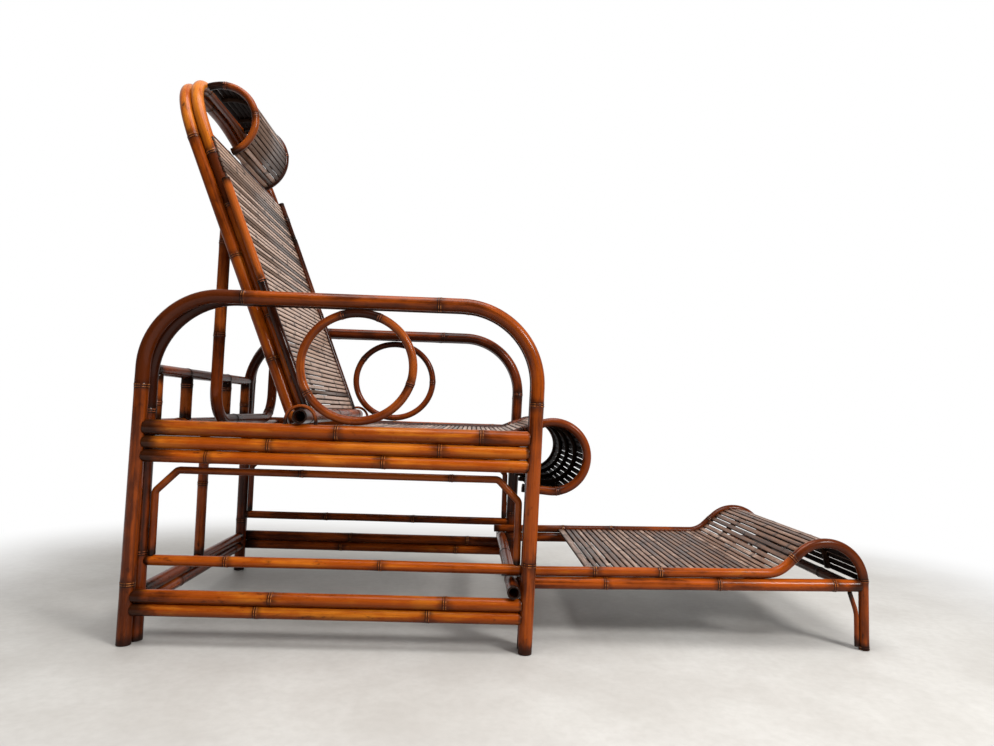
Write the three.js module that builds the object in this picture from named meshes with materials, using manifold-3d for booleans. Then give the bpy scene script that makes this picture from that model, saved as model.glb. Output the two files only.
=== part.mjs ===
import * as THREE from 'three';
import { mergeVertices } from 'three/addons/utils/BufferGeometryUtils.js';
import Module from 'manifold-3d';

const wasm = await Module();
wasm.setup();

// Bamboo folding recliner with a propped back and a footrest that slides out from under the seat.
// Millimetres and degrees. +X points at the footrest, +Y to the sitter's left, +Z up.
// Sizes along X are counted from the rear foot of the outer side hoops, sizes along Z from the floor.
// At the end the whole chair is centred over its own footprint.

// Clearances
const gap = 0.3;
const buttGap = 0.6;
const floorOverrun = 12;

// Facets
const poleSides = 12;
const thinPoleSides = 8;
const caneSides = 6;
const bendStepDeg = 17;

// Side hoops: two bent poles a side, each one rear leg, arm and front leg
const overallWidth = 650;
const armTopZ = 650;
const hoopRadius = 13.2;
const rearFootX = 0;
const frontFootX = 723.5;
const rearLegLeanX = 6.5;
const frontLegLeanX = 12.5;
const innerRearInsetX = 8;
const rearBendRadius = 137;
const innerRearBendRadius = 155;
const frontBendRadius = 147;

// Arm rings
const ringCaneRadius = 8.25;
const ringStretchShare = 1.035;
const ringSteps = 24;

// Seat side rails, from the top one down
const seatTopZ = 405.5;
const topRailRadius = 14.5;
const middleRailRadius = 12;
const bottomRailRadius = 12.25;

// Lower side rails and the thin bent bracket under the seat
const upperFloorRailRadius = 12.5;
const lowerFloorRailRadius = 11;
const floorRailTopZ = 99;
const midRailRadius = 10;
const midRailZ = 145.5;
const bracketRadius = 7;
const bracketTopZ = 312;
const bracketShoulderZ = 272;
const bracketShoulderX = 40;
const bracketBendRadius = 12;

// Rear crosspieces and the gallery behind the back
const crossRadius = 11;
const postRadius = 12;
const lowPostRadius = 11;
const galleryRailZ = 498.5;
const galleryPostShare = 0.434;

// Seat: bent edge poles, crosspieces under them, slats on battens
const seatPoleRadius = 8.4;
const seatPoleClearance = 5.5;
const seatStartX = 315;
const rampDeg = 22;
const rampBendRadius = 60;
const rollRadius = 66.6;
const rollCentreX = 771;
const rollCentreZ = 357;
const rollEndDeg = -95;
const rollTail = 53;
const seatCrossX = [337, 655];
const seatSlatWidth = 8.5;
const seatSlatPitch = 11;
const rollSlatEnd = 14;

// Slats and battens anywhere on the chair
const slatThickness = 5;
const battenThickness = 8;
const battenWidth = 12;
const battenSink = 0.5;
const battenShare = 0.5;

// Back: a pole that turns on the seat rails, two arches behind each other, thinner side poles, slats
const journalRadius = 14;
const journalBore = 10;
const journalX = 297;
const backDeg = 22;
const archPoleRadius = 12.1;
const archInset = 36.9;
const archHeight = 772.5;
const archBendShare = 0.7915;
const rearArchOffset = -32.7;
const rearArchDrop = 2;
const sidePoleRadius = 8.5;
const sidePoleOffset = 2.2;
const sidePoleTop = 494;
const panelFaceOffset = 4;
const panelBattenThickness = 5;
const lowerBackCrossRadius = 7;
const lowerBackCrossHeight = 46;
const upperBackCrossRadius = 9;
const upperBackCrossRise = 14.6;
const upperBackCrossOffset = -9.2;
const upperBackCrossInset = 3.2;
const backSlatWidth = 8.5;
const backSlatPitch = 11;

// Staples that hold the turning pole on the rails
const stapleRadius = 28;
const stapleCaneRadius = 3.5;
const stapleRise = 5;

// Headrest: a half roll of slats between two bent canes
const headrestShare = 0.5106;
const headrestRadius = 75.5;
const headrestCaneRadius = 8;
const headrestOffset = 4;
const headrestSlatPitch = 10.6;
const headrestSlatWidth = 8.2;

// Prop: a bent pole hinged to the rear arch, its foot behind the seat
const propRadius = 11.5;
const propInset = 40;
const propPinHeight = 447;
const propLength = 417;
const propTop = 20;
const propBendRadius = 62;
const propDeg = 22.3;
const pinRadius = 3.5;
const pinClearance = 0.3;
const propRestBackX = 14.6;
const propRestDropZ = 17.5;

// Footrest: rails bent into an arch and front legs, riding on a hollow pole at the rear
const footrestInset = 25.9;
const footrestTiltDeg = 0.9;
const rollerRadius = 12.5;
const rollerBore = 8.8;
const footRailRadius = 9.5;
const footLowerRailRadius = 12;
const footRailRearOverhang = 20;
const footLowerRailInset = 1.4;
const footLegX = 692.5;
const footArchRadius = 75.5;
const footArchRise = 59.8;
const footArchSlopeDeg = 42;
const footArchBendRadius = 60;
const footSlatStart = 148;
const footSlatWidth = 14;
const footSlatPitch = 16.8;
const footSlatEndDrop = 2;
const footCrossX = 488;
const footCrossRadius = 12;
const braceRadius = 4.5;
const braceReach = 28;
const braceDrop = 40;
const braceBendRadius = 70;
const braceFootZ = 6;

// Sizes that follow from those above
const sides = [{ name: 'right', sign: -1 }, { name: 'left', sign: 1 }];
const radians = THREE.MathUtils.degToRad;
const halfWidth = overallWidth / 2;
const armZ = armTopZ - hoopRadius;
const outerHoopY = halfWidth - hoopRadius;
const innerHoopY = outerHoopY - 2 * hoopRadius - gap;
const innerFaceY = innerHoopY - hoopRadius;
const galleryPostY = galleryPostShare * innerFaceY;
const seatPoleY = innerFaceY - seatPoleClearance - seatPoleRadius;
const archY = innerFaceY - archInset;
const archBendRadius = archBendShare * archY;
const headrestY = headrestShare * archY;
const propY = archY - propInset;
const footrestY = innerFaceY - footrestInset;
const seatRailY = halfWidth - topRailRadius;
const seatRailFaceY = seatRailY - topRailRadius;
const topRailZ = seatTopZ - topRailRadius;
const journalZ = seatTopZ + gap + journalRadius;
const slatOverPole = slatThickness / 2;

function frontLegX(z) {
  return frontFootX + frontLegLeanX * z / armZ;
}

function rearLegX(z) {
  return rearFootX + rearLegLeanX * z / armZ;
}

// Colours of the varnished bamboo
const colours = {
  amber: 0x9c4a14, orange: 0xa8561a, russet: 0x6e2c10, dark: 0x3d1c10, slat: 0x4a2d25, ink: 0x1f1210,
};

function varnish(colour, roughness) {
  return new THREE.MeshStandardMaterial({ color: colour, roughness, metalness: 0 });
}

function part(name, geometry, colour, roughness = 0.3) {
  const mesh = new THREE.Mesh(geometry, varnish(colour, roughness));
  mesh.name = name;
  return mesh;
}

// A pole's centre line: straight between its points, with one ring of the tube at each point
class PoleLine extends THREE.Curve {
  constructor(points) {
    super();
    this.points = points;
  }

  getUtoTmapping(u) {
    return u;
  }

  getPoint(t, target = new THREE.Vector3()) {
    const spans = this.points.length - 1;
    const place = THREE.MathUtils.clamp(t, 0, 1) * spans;
    const index = Math.min(Math.floor(place), spans - 1);
    return target.lerpVectors(this.points[index], this.points[index + 1], place - index);
  }
}

// A centre line in a plane as [across, up] pairs becomes points in space
function inPlane(pairs, y) {
  return pairs.map(([x, z]) => new THREE.Vector3(x, y, z));
}

function acrossPlane(pairs, x) {
  return pairs.map(([y, z]) => new THREE.Vector3(x, y, z));
}

// Points of an arc about a centre, in degrees, without more steps than the bend needs
function arc([cx, cz], radius, fromDeg, toDeg) {
  const steps = Math.max(2, Math.ceil(Math.abs(toDeg - fromDeg) / bendStepDeg));
  return Array.from({ length: steps + 1 }, (_, i) => {
    const angle = radians(fromDeg + (toDeg - fromDeg) * i / steps);
    return [cx + radius * Math.cos(angle), cz + radius * Math.sin(angle)];
  });
}

// A run of corners becomes a line whose corners are bent to a radius
function bend(corners, bendRadii) {
  const line = [corners[0]];
  for (let i = 1; i < corners.length - 1; i++) {
    const corner = new THREE.Vector2(...corners[i]);
    const back = new THREE.Vector2(...corners[i - 1]).sub(corner).normalize();
    const ahead = new THREE.Vector2(...corners[i + 1]).sub(corner).normalize();
    const half = Math.acos(back.dot(ahead)) / 2;
    const radius = bendRadii[i - 1];
    const inward = back.clone().add(ahead).normalize();
    const centre = inward.multiplyScalar(radius / Math.sin(half)).add(corner);
    const start = back.multiplyScalar(radius / Math.tan(half)).add(corner).sub(centre);
    const end = ahead.multiplyScalar(radius / Math.tan(half)).add(corner).sub(centre);
    const fromDeg = THREE.MathUtils.radToDeg(Math.atan2(start.y, start.x));
    const turn = THREE.MathUtils.radToDeg(Math.atan2(start.cross(end), start.dot(end)));
    line.push(...arc([centre.x, centre.y], radius, fromDeg, fromDeg + turn));
  }
  line.push(corners[corners.length - 1]);
  return line;
}

// A pole of round section along a line of points
function bentPole(points, radius, sideCount) {
  const section = new THREE.Shape(Array.from({ length: sideCount }, (_, i) => {
    const angle = 2 * Math.PI * i / sideCount;
    return new THREE.Vector2(radius * Math.cos(angle), radius * Math.sin(angle));
  }));
  const extrudePath = new PoleLine(points);
  return new THREE.ExtrudeGeometry(section, { steps: points.length - 1, extrudePath, curveSegments: 1 });
}

function polePlane(pairs, y, radius, sideCount) {
  return bentPole(inPlane(pairs, y), radius, sideCount);
}

// Straight poles along each axis
function poleAlongX(fromX, toX, y, z, radius, sideCount = poleSides) {
  const geometry = new THREE.CylinderGeometry(radius, radius, toX - fromX, sideCount);
  return geometry.rotateZ(-Math.PI / 2).translate((fromX + toX) / 2, y, z);
}

function poleAlongY(x, fromY, toY, z, radius, sideCount = poleSides) {
  const geometry = new THREE.CylinderGeometry(radius, radius, toY - fromY, sideCount);
  return geometry.translate(x, (fromY + toY) / 2, z);
}

function poleAlongZ(x, y, fromZ, toZ, radius, sideCount = poleSides) {
  const geometry = new THREE.CylinderGeometry(radius, radius, toZ - fromZ, sideCount);
  return geometry.rotateX(Math.PI / 2).translate(x, y, (fromZ + toZ) / 2);
}

// A hollow pole across the chair, open at both ends
function hollowPole(halfLength, radius, bore) {
  const corners = [[bore, -halfLength], [radius, -halfLength], [radius, halfLength], [bore, halfLength]];
  const wall = [...corners, corners[0]].map(([r, y]) => new THREE.Vector2(r, y));
  return new THREE.LatheGeometry(wall, poleSides);
}

// Half the width of a faceted pole at a height over its middle, with a corner at its widest place
function poleHalfWidth(radius, sideCount, height) {
  const step = 2 * Math.PI / sideCount;
  const corner = Math.floor(Math.asin(height / radius) / step);
  const low = new THREE.Vector2(radius, 0).rotateAround(new THREE.Vector2(), corner * step);
  const high = new THREE.Vector2(radius, 0).rotateAround(new THREE.Vector2(), (corner + 1) * step);
  return low.x + (high.x - low.x) * (height - low.y) / (high.y - low.y);
}

// How far a slat reaches that lies flush with the top of the poles beside it
function slatReach(poleY, radius, sideCount) {
  return poleY - poleHalfWidth(radius, sideCount, radius - slatThickness) - gap;
}

// Joining and cutting
function solid(geometry) {
  const bare = geometry.clone();
  bare.deleteAttribute('normal');
  bare.deleteAttribute('uv');
  const merged = mergeVertices(bare, gap / 1000);
  return new wasm.Manifold(new wasm.Mesh({
    numProp: 3,
    vertProperties: new Float32Array(merged.attributes.position.array),
    triVerts: new Uint32Array(merged.index.array),
  }));
}

function geometryOf(body) {
  const mesh = body.getMesh();
  const geometry = new THREE.BufferGeometry();
  geometry.setAttribute('position', new THREE.BufferAttribute(mesh.vertProperties, mesh.numProp));
  geometry.setIndex(new THREE.BufferAttribute(mesh.triVerts, 1));
  geometry.computeVertexNormals();
  return geometry;
}

// A foot is cut level with the floor; the ground block is given in the foot's own frame
function cutAtFloor(geometry, toOwnFrame = new THREE.Matrix4()) {
  const reach = 8 * overallWidth;
  const ground = new THREE.BoxGeometry(reach, reach, 2 * floorOverrun).translate(0, 0, -floorOverrun);
  return geometryOf(solid(geometry).subtract(solid(ground.applyMatrix4(toOwnFrame))));
}

// The point at a distance along a line
function alongLine(line, distance) {
  let rest = distance;
  for (let i = 1; i < line.length; i++) {
    const from = new THREE.Vector2(...line[i - 1]);
    const to = new THREE.Vector2(...line[i]);
    const span = from.distanceTo(to);
    if (rest <= span || i === line.length - 1) return from.lerp(to, rest / span);
    rest -= span;
  }
  return null;
}

function lengthOf(line) {
  return line.slice(1).reduce((sum, [x, z], i) => sum + Math.hypot(x - line[i][0], z - line[i][1]), 0);
}

// A line moved sideways, to the left of its own direction
function offsetLine(line, offset) {
  return line.map(([x, z], i) => {
    const before = line[Math.max(i - 1, 0)];
    const after = line[Math.min(i + 1, line.length - 1)];
    const span = Math.hypot(after[0] - before[0], after[1] - before[1]);
    return [x - (after[1] - before[1]) / span * offset, z + (after[0] - before[0]) / span * offset];
  });
}

// A batten: a thin strip that follows the line, between two offsets from it
function batten(line, lowOffset, highOffset, y) {
  const outline = [...offsetLine(line, lowOffset), ...offsetLine(line, highOffset).reverse()];
  const shape = new THREE.Shape(outline.map(([x, z]) => new THREE.Vector2(x, z)));
  const options = { depth: battenWidth, bevelEnabled: false, curveSegments: 1 };
  const strip = new THREE.ExtrudeGeometry(shape, options);
  return strip.rotateX(Math.PI / 2).translate(0, y + battenWidth / 2, 0);
}

// Slats laid across a line at an even pitch, nailed to two battens under them: one mat
function slatMat(line, halfLength, layout) {
  const { topOffset, width, pitch, end = lengthOf(line), strip = battenThickness } = layout;
  const slatOffset = topOffset - slatOverPole;
  const battenHigh = topOffset - slatThickness + battenSink;
  const battenLow = battenHigh - strip;
  let mat = null;
  for (const sign of [-1, 1]) {
    const support = solid(batten(line, battenLow, battenHigh, sign * halfLength * battenShare));
    mat = mat ? mat.add(support) : support;
  }
  const count = Math.floor((end - width) / pitch) + 1;
  const spread = (end - width) / (count - 1);
  for (let i = 0; i < count; i++) {
    const rear = alongLine(line, i * spread);
    const front = alongLine(line, i * spread + width);
    const middle = rear.clone().lerp(front, 1 / 2);
    const slat = new THREE.BoxGeometry(width, 2 * halfLength, slatThickness).translate(0, 0, slatOffset);
    slat.rotateY(-front.sub(rear).angle()).translate(middle.x, 0, middle.y);
    mat = mat.add(solid(slat));
  }
  return geometryOf(mat);
}

// Outer and inner hoop of one side
function hoop(y, rearX, rearTopX, rearRadius) {
  const corners = [
    [rearX, -floorOverrun / 2], [rearTopX, armZ], [frontLegX(armZ), armZ], [frontFootX, -floorOverrun / 2],
  ];
  return cutAtFloor(polePlane(bend(corners, [rearRadius, frontBendRadius]), y, hoopRadius, poleSides));
}

function addHoops(chair, { name, sign }) {
  const outer = hoop(sign * outerHoopY, rearFootX, rearLegX(armZ), rearBendRadius);
  const innerX = rearFootX + innerRearInsetX;
  const inner = hoop(sign * innerHoopY, innerX, innerX, innerRearBendRadius);
  chair.add(
    part(`${name}_outer_hoop`, outer, colours.amber),
    part(`${name}_inner_hoop`, inner, colours.russet),
  );
}

// The ring stands on the top seat rail, just in front of the staple, and reaches the arm
function addArmRing(chair, { name, sign }) {
  const half = (armZ - hoopRadius - seatTopZ) / 2 - gap;
  const stapleReach = stapleRadius + stapleCaneRadius;
  const run = Math.sqrt((half + stapleReach) ** 2 - (half - stapleRise) ** 2);
  const x = journalX + ringStretchShare * run + gap;
  const ring = new THREE.TorusGeometry(half - ringCaneRadius, ringCaneRadius, thinPoleSides, ringSteps);
  ring.rotateX(Math.PI / 2).scale(ringStretchShare, 1, 1);
  ring.translate(x, sign * seatRailY, seatTopZ + gap + half);
  chair.add(part(`${name}_arm_ring`, ring, colours.russet));
}

// A rail between the outer legs, at a height
function sideRail(z, y, radius) {
  const fromX = rearLegX(z) + hoopRadius + buttGap;
  const toX = frontLegX(z) - hoopRadius - buttGap;
  return poleAlongX(fromX, toX, y, z, radius);
}

function addSeatRails(chair, { name, sign }) {
  const middleZ = topRailZ - topRailRadius - gap - middleRailRadius;
  const bottomZ = middleZ - middleRailRadius - gap - bottomRailRadius;
  const y = sign * seatRailY;
  chair.add(
    part(`${name}_seat_rail_top`, sideRail(topRailZ, y, topRailRadius), colours.amber),
    part(`${name}_seat_rail_middle`, sideRail(middleZ, y, middleRailRadius), colours.orange),
    part(`${name}_seat_rail_bottom`, sideRail(bottomZ, y, bottomRailRadius), colours.orange),
  );
}

function addFloorRails(chair, { name, sign }) {
  const upperZ = floorRailTopZ - upperFloorRailRadius;
  const lowerZ = upperZ - upperFloorRailRadius - gap - lowerFloorRailRadius;
  const y = sign * outerHoopY;
  chair.add(
    part(`${name}_floor_rail_upper`, sideRail(upperZ, y, upperFloorRailRadius), colours.amber),
    part(`${name}_floor_rail_lower`, sideRail(lowerZ, y, lowerFloorRailRadius), colours.amber),
  );
}

// The mid rail lies between the inner legs and carries the bent bracket
function addMidRailAndBracket(chair, { name, sign }) {
  const fromX = rearFootX + innerRearInsetX + hoopRadius + buttGap;
  const toX = frontLegX(midRailZ) - hoopRadius - buttGap;
  const y = sign * innerHoopY;
  const rail = poleAlongX(fromX, toX, y, midRailZ, midRailRadius);
  chair.add(part(`${name}_mid_rail`, rail, colours.orange));

  const footZ = midRailZ + midRailRadius + gap;
  const rearX = fromX + bracketRadius;
  const frontX = toX - bracketRadius;
  const corners = [
    [rearX, footZ], [rearX, bracketShoulderZ], [rearX + bracketShoulderX, bracketTopZ],
    [frontX - bracketShoulderX, bracketTopZ], [frontX, bracketShoulderZ], [frontX, footZ],
  ];
  const line = bend(corners, Array(4).fill(bracketBendRadius));
  const bracket = polePlane(line, y, bracketRadius, thinPoleSides);
  chair.add(part(`${name}_bracket`, bracket, colours.russet));
}

function addStaple(chair, { name, sign }) {
  const footZ = seatTopZ + gap;
  const centre = [journalX, footZ + stapleRise];
  const feet = [-stapleRadius, stapleRadius].map((offset) => [journalX + offset, footZ]);
  const line = [feet[0], ...arc(centre, stapleRadius, 180, 0), feet[1]];
  const y = sign * (seatRailY + stapleCaneRadius);
  const staple = polePlane(line, y, stapleCaneRadius, caneSides);
  chair.add(part(`${name}_journal_staple`, staple, colours.russet));
}

// Crosspieces between the rear inner legs, and the gallery
function addRear(chair) {
  const x = rearFootX + innerRearInsetX;
  const half = innerFaceY - gap;
  const upperZ = floorRailTopZ - upperFloorRailRadius;
  const lowerZ = upperZ - upperFloorRailRadius - gap - lowerFloorRailRadius;
  const seatZ = seatTopZ - crossRadius;
  chair.add(
    part('rear_floor_rail_upper', poleAlongY(x, -half, half, upperZ, upperFloorRailRadius), colours.russet),
    part('rear_floor_rail_lower', poleAlongY(x, -half, half, lowerZ, lowerFloorRailRadius), colours.russet),
    part('rear_seat_rail', poleAlongY(x, -half, half, seatZ, crossRadius), colours.russet),
    part('gallery_rail', poleAlongY(x, -half, half, galleryRailZ, crossRadius), colours.russet),
  );
  const lowPost = poleAlongZ(x, 0, floorRailTopZ + gap, seatZ - crossRadius - gap, lowPostRadius);
  chair.add(part('rear_centre_post', lowPost, colours.amber));

  const outerPostY = innerFaceY - gap - postRadius;
  for (const { name, sign } of sides) {
    for (const [place, y] of [['outer', outerPostY], ['inner', galleryPostY]]) {
      const post = poleAlongZ(x, sign * y, seatTopZ + gap, galleryRailZ - crossRadius - gap, postRadius);
      chair.add(part(`${name}_gallery_post_${place}`, post, colours.russet));
    }
  }
}

// The line of the seat's edge poles: level, up a ramp, then round the front roll and back under
function seatLine() {
  const z = seatTopZ - gap - slatOverPole / 2 - seatPoleRadius;
  const ramp = radians(rampDeg);
  const touch = [rollCentreX - rollRadius * Math.sin(ramp), rollCentreZ + rollRadius * Math.cos(ramp)];
  const footX = touch[0] - (touch[1] - z) / Math.tan(ramp);
  const level = bend([[seatStartX, z], [footX, z], touch], [rampBendRadius]);
  const roll = arc([rollCentreX, rollCentreZ], rollRadius, 90 + rampDeg, rollEndDeg);
  const [endX, endZ] = roll[roll.length - 1];
  const end = radians(rollEndDeg);
  const tail = [endX + rollTail * Math.sin(end), endZ - rollTail * Math.cos(end)];
  return [...level.slice(0, -1), ...roll, tail];
}

function addSeat(chair) {
  const line = seatLine();
  for (const { name, sign } of sides) {
    const pole = polePlane(line, sign * seatPoleY, seatPoleRadius, thinPoleSides);
    chair.add(part(`${name}_seat_edge_pole`, pole, colours.russet));
  }
  const crossZ = line[0][1] - seatPoleRadius - gap - crossRadius;
  const crossUnderTopRail = topRailZ - crossZ - crossRadius;
  const half = seatRailY - poleHalfWidth(topRailRadius, poleSides, crossUnderTopRail) - gap;
  ['rear', 'front'].forEach((name, i) => {
    const rail = poleAlongY(seatCrossX[i], -half, half, crossZ, crossRadius);
    chair.add(part(`seat_cross_rail_${name}`, rail, colours.russet));
  });
  const slatHalf = slatReach(seatPoleY, seatPoleRadius, thinPoleSides);
  const end = lengthOf(line) - rollSlatEnd;
  const layout = { topOffset: seatPoleRadius, width: seatSlatWidth, pitch: seatSlatPitch, end };
  const slats = slatMat(line, slatHalf, layout);
  chair.add(part('seat_slats', slats, colours.slat, 0.45));
}

// The pole that the prop's foot stands on and against, below and behind it
function addPropRest(chair, foot) {
  const half = seatRailFaceY - gap;
  const rest = poleAlongY(foot.x - propRestBackX, -half, half, foot.z - propRestDropZ, crossRadius);
  chair.add(part('prop_rest_rail', rest, colours.russet));
}

// The back's own frame: its origin is the turning pole, local Z runs up the back, local X faces the sitter
function makeBack() {
  const back = new THREE.Group();
  back.position.set(journalX, 0, journalZ);
  back.rotation.y = -radians(backDeg);
  return back;
}

function archLine(foot) {
  const corners = [[-archY, foot], [-archY, archHeight], [archY, archHeight], [archY, foot]];
  return bend(corners, Array(2).fill(archBendRadius));
}

const frontArchOffset = rearArchOffset + 2 * archPoleRadius + gap;
const poleContact = archPoleRadius + gap + sidePoleRadius;
const panelHeight = archHeight - archBendRadius;
const sidePoleY = archY + Math.sqrt(poleContact ** 2 - (sidePoleOffset - frontArchOffset) ** 2);
const headrestTop = archHeight - archPoleRadius - gap;
const headrestCentre = headrestTop - headrestCaneRadius - headrestRadius;
const upperBackCrossHeight = panelHeight + upperBackCrossRise;

// The hole that a prop pin turns in, right across the chair
function pinBore(x, z) {
  return poleAlongY(x, -halfWidth, halfWidth, z, pinRadius + pinClearance, thinPoleSides);
}

function addArches(back) {
  const bore = solid(pinBore(rearArchOffset, propPinHeight));
  const rearLine = acrossPlane(archLine(-rearArchDrop), rearArchOffset);
  const rear = solid(bentPole(rearLine, archPoleRadius, poleSides));
  const frontLine = acrossPlane(archLine(journalRadius + gap), frontArchOffset);
  const front = bentPole(frontLine, archPoleRadius, poleSides);
  back.add(
    part('rear_arch', geometryOf(rear.subtract(bore)), colours.amber),
    part('front_arch', front, colours.orange),
    part('back_journal', hollowPole(halfWidth, journalRadius, journalBore), colours.russet),
  );
}

function addBackPanel(back) {
  const foot = journalRadius + gap;
  for (const { name, sign } of sides) {
    const pole = poleAlongZ(sidePoleOffset, sign * sidePoleY, foot, sidePoleTop, sidePoleRadius);
    back.add(part(`${name}_back_side_pole`, pole, colours.dark));
  }
  const lowerHalf = archY - archPoleRadius - buttGap;
  const battenBack = panelFaceOffset - slatThickness + battenSink - panelBattenThickness;
  const lowerOffset = battenBack - gap - lowerBackCrossRadius;
  const lower = poleAlongY(lowerOffset, -lowerHalf, lowerHalf, lowerBackCrossHeight, lowerBackCrossRadius);
  const upperHalf = lowerHalf - upperBackCrossInset;
  const upperZ = upperBackCrossHeight;
  const upper = poleAlongY(upperBackCrossOffset, -upperHalf, upperHalf, upperZ, upperBackCrossRadius);
  back.add(
    part('back_cross_rail_lower', lower, colours.russet),
    part('back_cross_rail_upper', upper, colours.russet),
  );

  const line = [[panelFaceOffset, panelHeight], [panelFaceOffset, foot]];
  const depth = panelFaceOffset - slatThickness - frontArchOffset;
  const slatHalf = archY - poleHalfWidth(archPoleRadius, poleSides, depth) - gap;
  const layout = { topOffset: 0, width: backSlatWidth, pitch: backSlatPitch, strip: panelBattenThickness };
  back.add(part('back_slats', slatMat(line, slatHalf, layout), colours.slat, 0.45));
}

function addHeadrest(back) {
  const line = arc([headrestOffset, headrestCentre], headrestRadius, 90, -90);
  for (const { name, sign } of sides) {
    const ring = polePlane(line, sign * headrestY, headrestCaneRadius, thinPoleSides);
    back.add(part(`${name}_headrest_ring`, ring, colours.russet));
  }
  const half = slatReach(headrestY, headrestCaneRadius, thinPoleSides);
  const layout = { topOffset: headrestCaneRadius, width: headrestSlatWidth, pitch: headrestSlatPitch };
  const slats = slatMat(line, half, layout);
  back.add(part('headrest_slats', slats, colours.slat, 0.45));
}

// The prop hangs from two pins in the rear arch and swings inside it
function addProp(back) {
  const y = propY;
  const prop = new THREE.Group();
  prop.position.set(rearArchOffset, 0, propPinHeight);
  prop.rotation.y = radians(propDeg);
  const corners = [[-y, propTop], [-y, -propLength], [y, -propLength], [y, propTop]];
  const line = bend(corners, Array(2).fill(propBendRadius));
  const pole = solid(bentPole(acrossPlane(line, 0), propRadius, poleSides));
  const bore = solid(pinBore(0, 0));
  prop.add(part('back_prop', geometryOf(pole.subtract(bore)), colours.russet));
  back.add(prop);

  for (const { name, sign } of sides) {
    const ends = [sign * (y - propRadius), sign * (archY + archPoleRadius)].sort((a, b) => a - b);
    const pin = poleAlongY(rearArchOffset, ends[0], ends[1], propPinHeight, pinRadius, thinPoleSides);
    back.add(part(`${name}_prop_pin`, pin, colours.dark));
  }
  return prop;
}

// The footrest's own frame: its origin is the roller, local X runs up its slight tilt
function makeFootrest() {
  const footrest = new THREE.Group();
  const rollerZ = floorRailTopZ + gap + rollerRadius;
  const rollerX = frontLegX(rollerZ) - hoopRadius - buttGap - rollerRadius;
  footrest.position.set(rollerX, 0, rollerZ);
  footrest.rotation.y = -radians(footrestTiltDeg);
  footrest.updateMatrix();
  return footrest;
}

const footRailZ = rollerRadius + gap + footRailRadius;
const footLowerRailZ = footRailZ - footRailRadius - gap - footLowerRailRadius;
const footFloorZ = -(floorRailTopZ + gap + rollerRadius + footLegX * Math.tan(radians(footrestTiltDeg)));

// The line of the footrest's bent rails, from the roller over the arch and down to the floor
function footrestLine() {
  const slope = radians(footArchSlopeDeg);
  const centreZ = footRailZ + footArchRise - footArchRadius;
  const peakZ = centreZ + footArchRadius * Math.tan((Math.PI / 2 + slope) / 2);
  const riseX = footLegX - (peakZ - footRailZ) / Math.tan(slope);
  const rise = [[-footRailRearOverhang, footRailZ], [riseX, footRailZ], [footLegX, peakZ]];
  return bend([...rise, [footLegX, footFloorZ - floorOverrun / 2]], [footArchBendRadius, footArchRadius]);
}

function addFootrestFrame(footrest) {
  const toOwnFrame = footrest.matrix.clone().invert();
  const line = footrestLine();
  for (const { name, sign } of sides) {
    const y = sign * footrestY;
    const rail = cutAtFloor(polePlane(line, y, footRailRadius, poleSides), toOwnFrame);
    const fromX = rollerRadius + buttGap;
    const toX = footLegX - footRailRadius - footLowerRailInset;
    const lower = poleAlongX(fromX, toX, y, footLowerRailZ, footLowerRailRadius);
    footrest.add(
      part(`${name}_footrest_arch_rail`, rail, colours.amber),
      part(`${name}_footrest_lower_rail`, lower, colours.orange),
    );
  }
  const half = footrestY - footLowerRailRadius - gap;
  const battenZ = footRailZ + footRailRadius - slatThickness + battenSink - battenThickness;
  const crossZ = battenZ - gap - footCrossRadius;
  footrest.add(
    part('footrest_roller', hollowPole(halfWidth, rollerRadius, rollerBore), colours.russet),
    part('footrest_cross_rail', poleAlongY(footCrossX, -half, half, crossZ, footCrossRadius), colours.dark),
  );
}

function addFootrestSlats(footrest) {
  const line = footrestLine();
  const start = line.findIndex(([x]) => x > footSlatStart);
  const end = line.findIndex(([, z], i) => i > start && line[i + 1][1] < footRailZ);
  const [endX, endZ] = [footLegX, footRailZ - footSlatEndDrop];
  const matLine = [[footSlatStart, footRailZ], ...line.slice(start, end + 1), [endX, endZ]];
  const half = slatReach(footrestY, footRailRadius, poleSides);
  const layout = { topOffset: footRailRadius, width: footSlatWidth, pitch: footSlatPitch };
  const slats = slatMat(matLine, half, layout);
  footrest.add(part('footrest_slats', slats, colours.slat, 0.45));
}

// A thin cane that leaves the lower rail and runs down behind each front leg
function addBraces(footrest) {
  const x = footLegX - footRailRadius - gap - braceRadius;
  const topX = footLegX - braceReach;
  const endRise = braceRadius * Math.sin(Math.atan2(x - topX, braceDrop));
  const topZ = footLowerRailZ - footLowerRailRadius - gap - endRise;
  const corners = [[topX, topZ], [x, topZ - braceDrop], [x, footFloorZ + braceFootZ]];
  const line = bend(corners, [braceBendRadius]);
  for (const { name, sign } of sides) {
    const brace = polePlane(line, sign * footrestY, braceRadius, caneSides);
    footrest.add(part(`${name}_footrest_brace`, brace, colours.russet));
  }
}

// Assembly
const chair = new THREE.Group();
for (const side of sides) {
  addHoops(chair, side);
  addArmRing(chair, side);
  addSeatRails(chair, side);
  addFloorRails(chair, side);
  addMidRailAndBracket(chair, side);
  addStaple(chair, side);
}
addRear(chair);
addSeat(chair);

const back = makeBack();
addArches(back);
addBackPanel(back);
addHeadrest(back);
const prop = addProp(back);
chair.add(back);

const footrest = makeFootrest();
addFootrestFrame(footrest);
addFootrestSlats(footrest);
addBraces(footrest);
chair.add(footrest);

chair.updateMatrixWorld(true);
addPropRest(chair, new THREE.Vector3(0, 0, -propLength).applyMatrix4(prop.matrixWorld));

// The origin is the middle of the footprint, on the floor
const bounds = new THREE.Box3().setFromObject(chair, true);
chair.position.x = -(bounds.min.x + bounds.max.x) / 2;

export default chair;
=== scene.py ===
import math
import random

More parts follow.
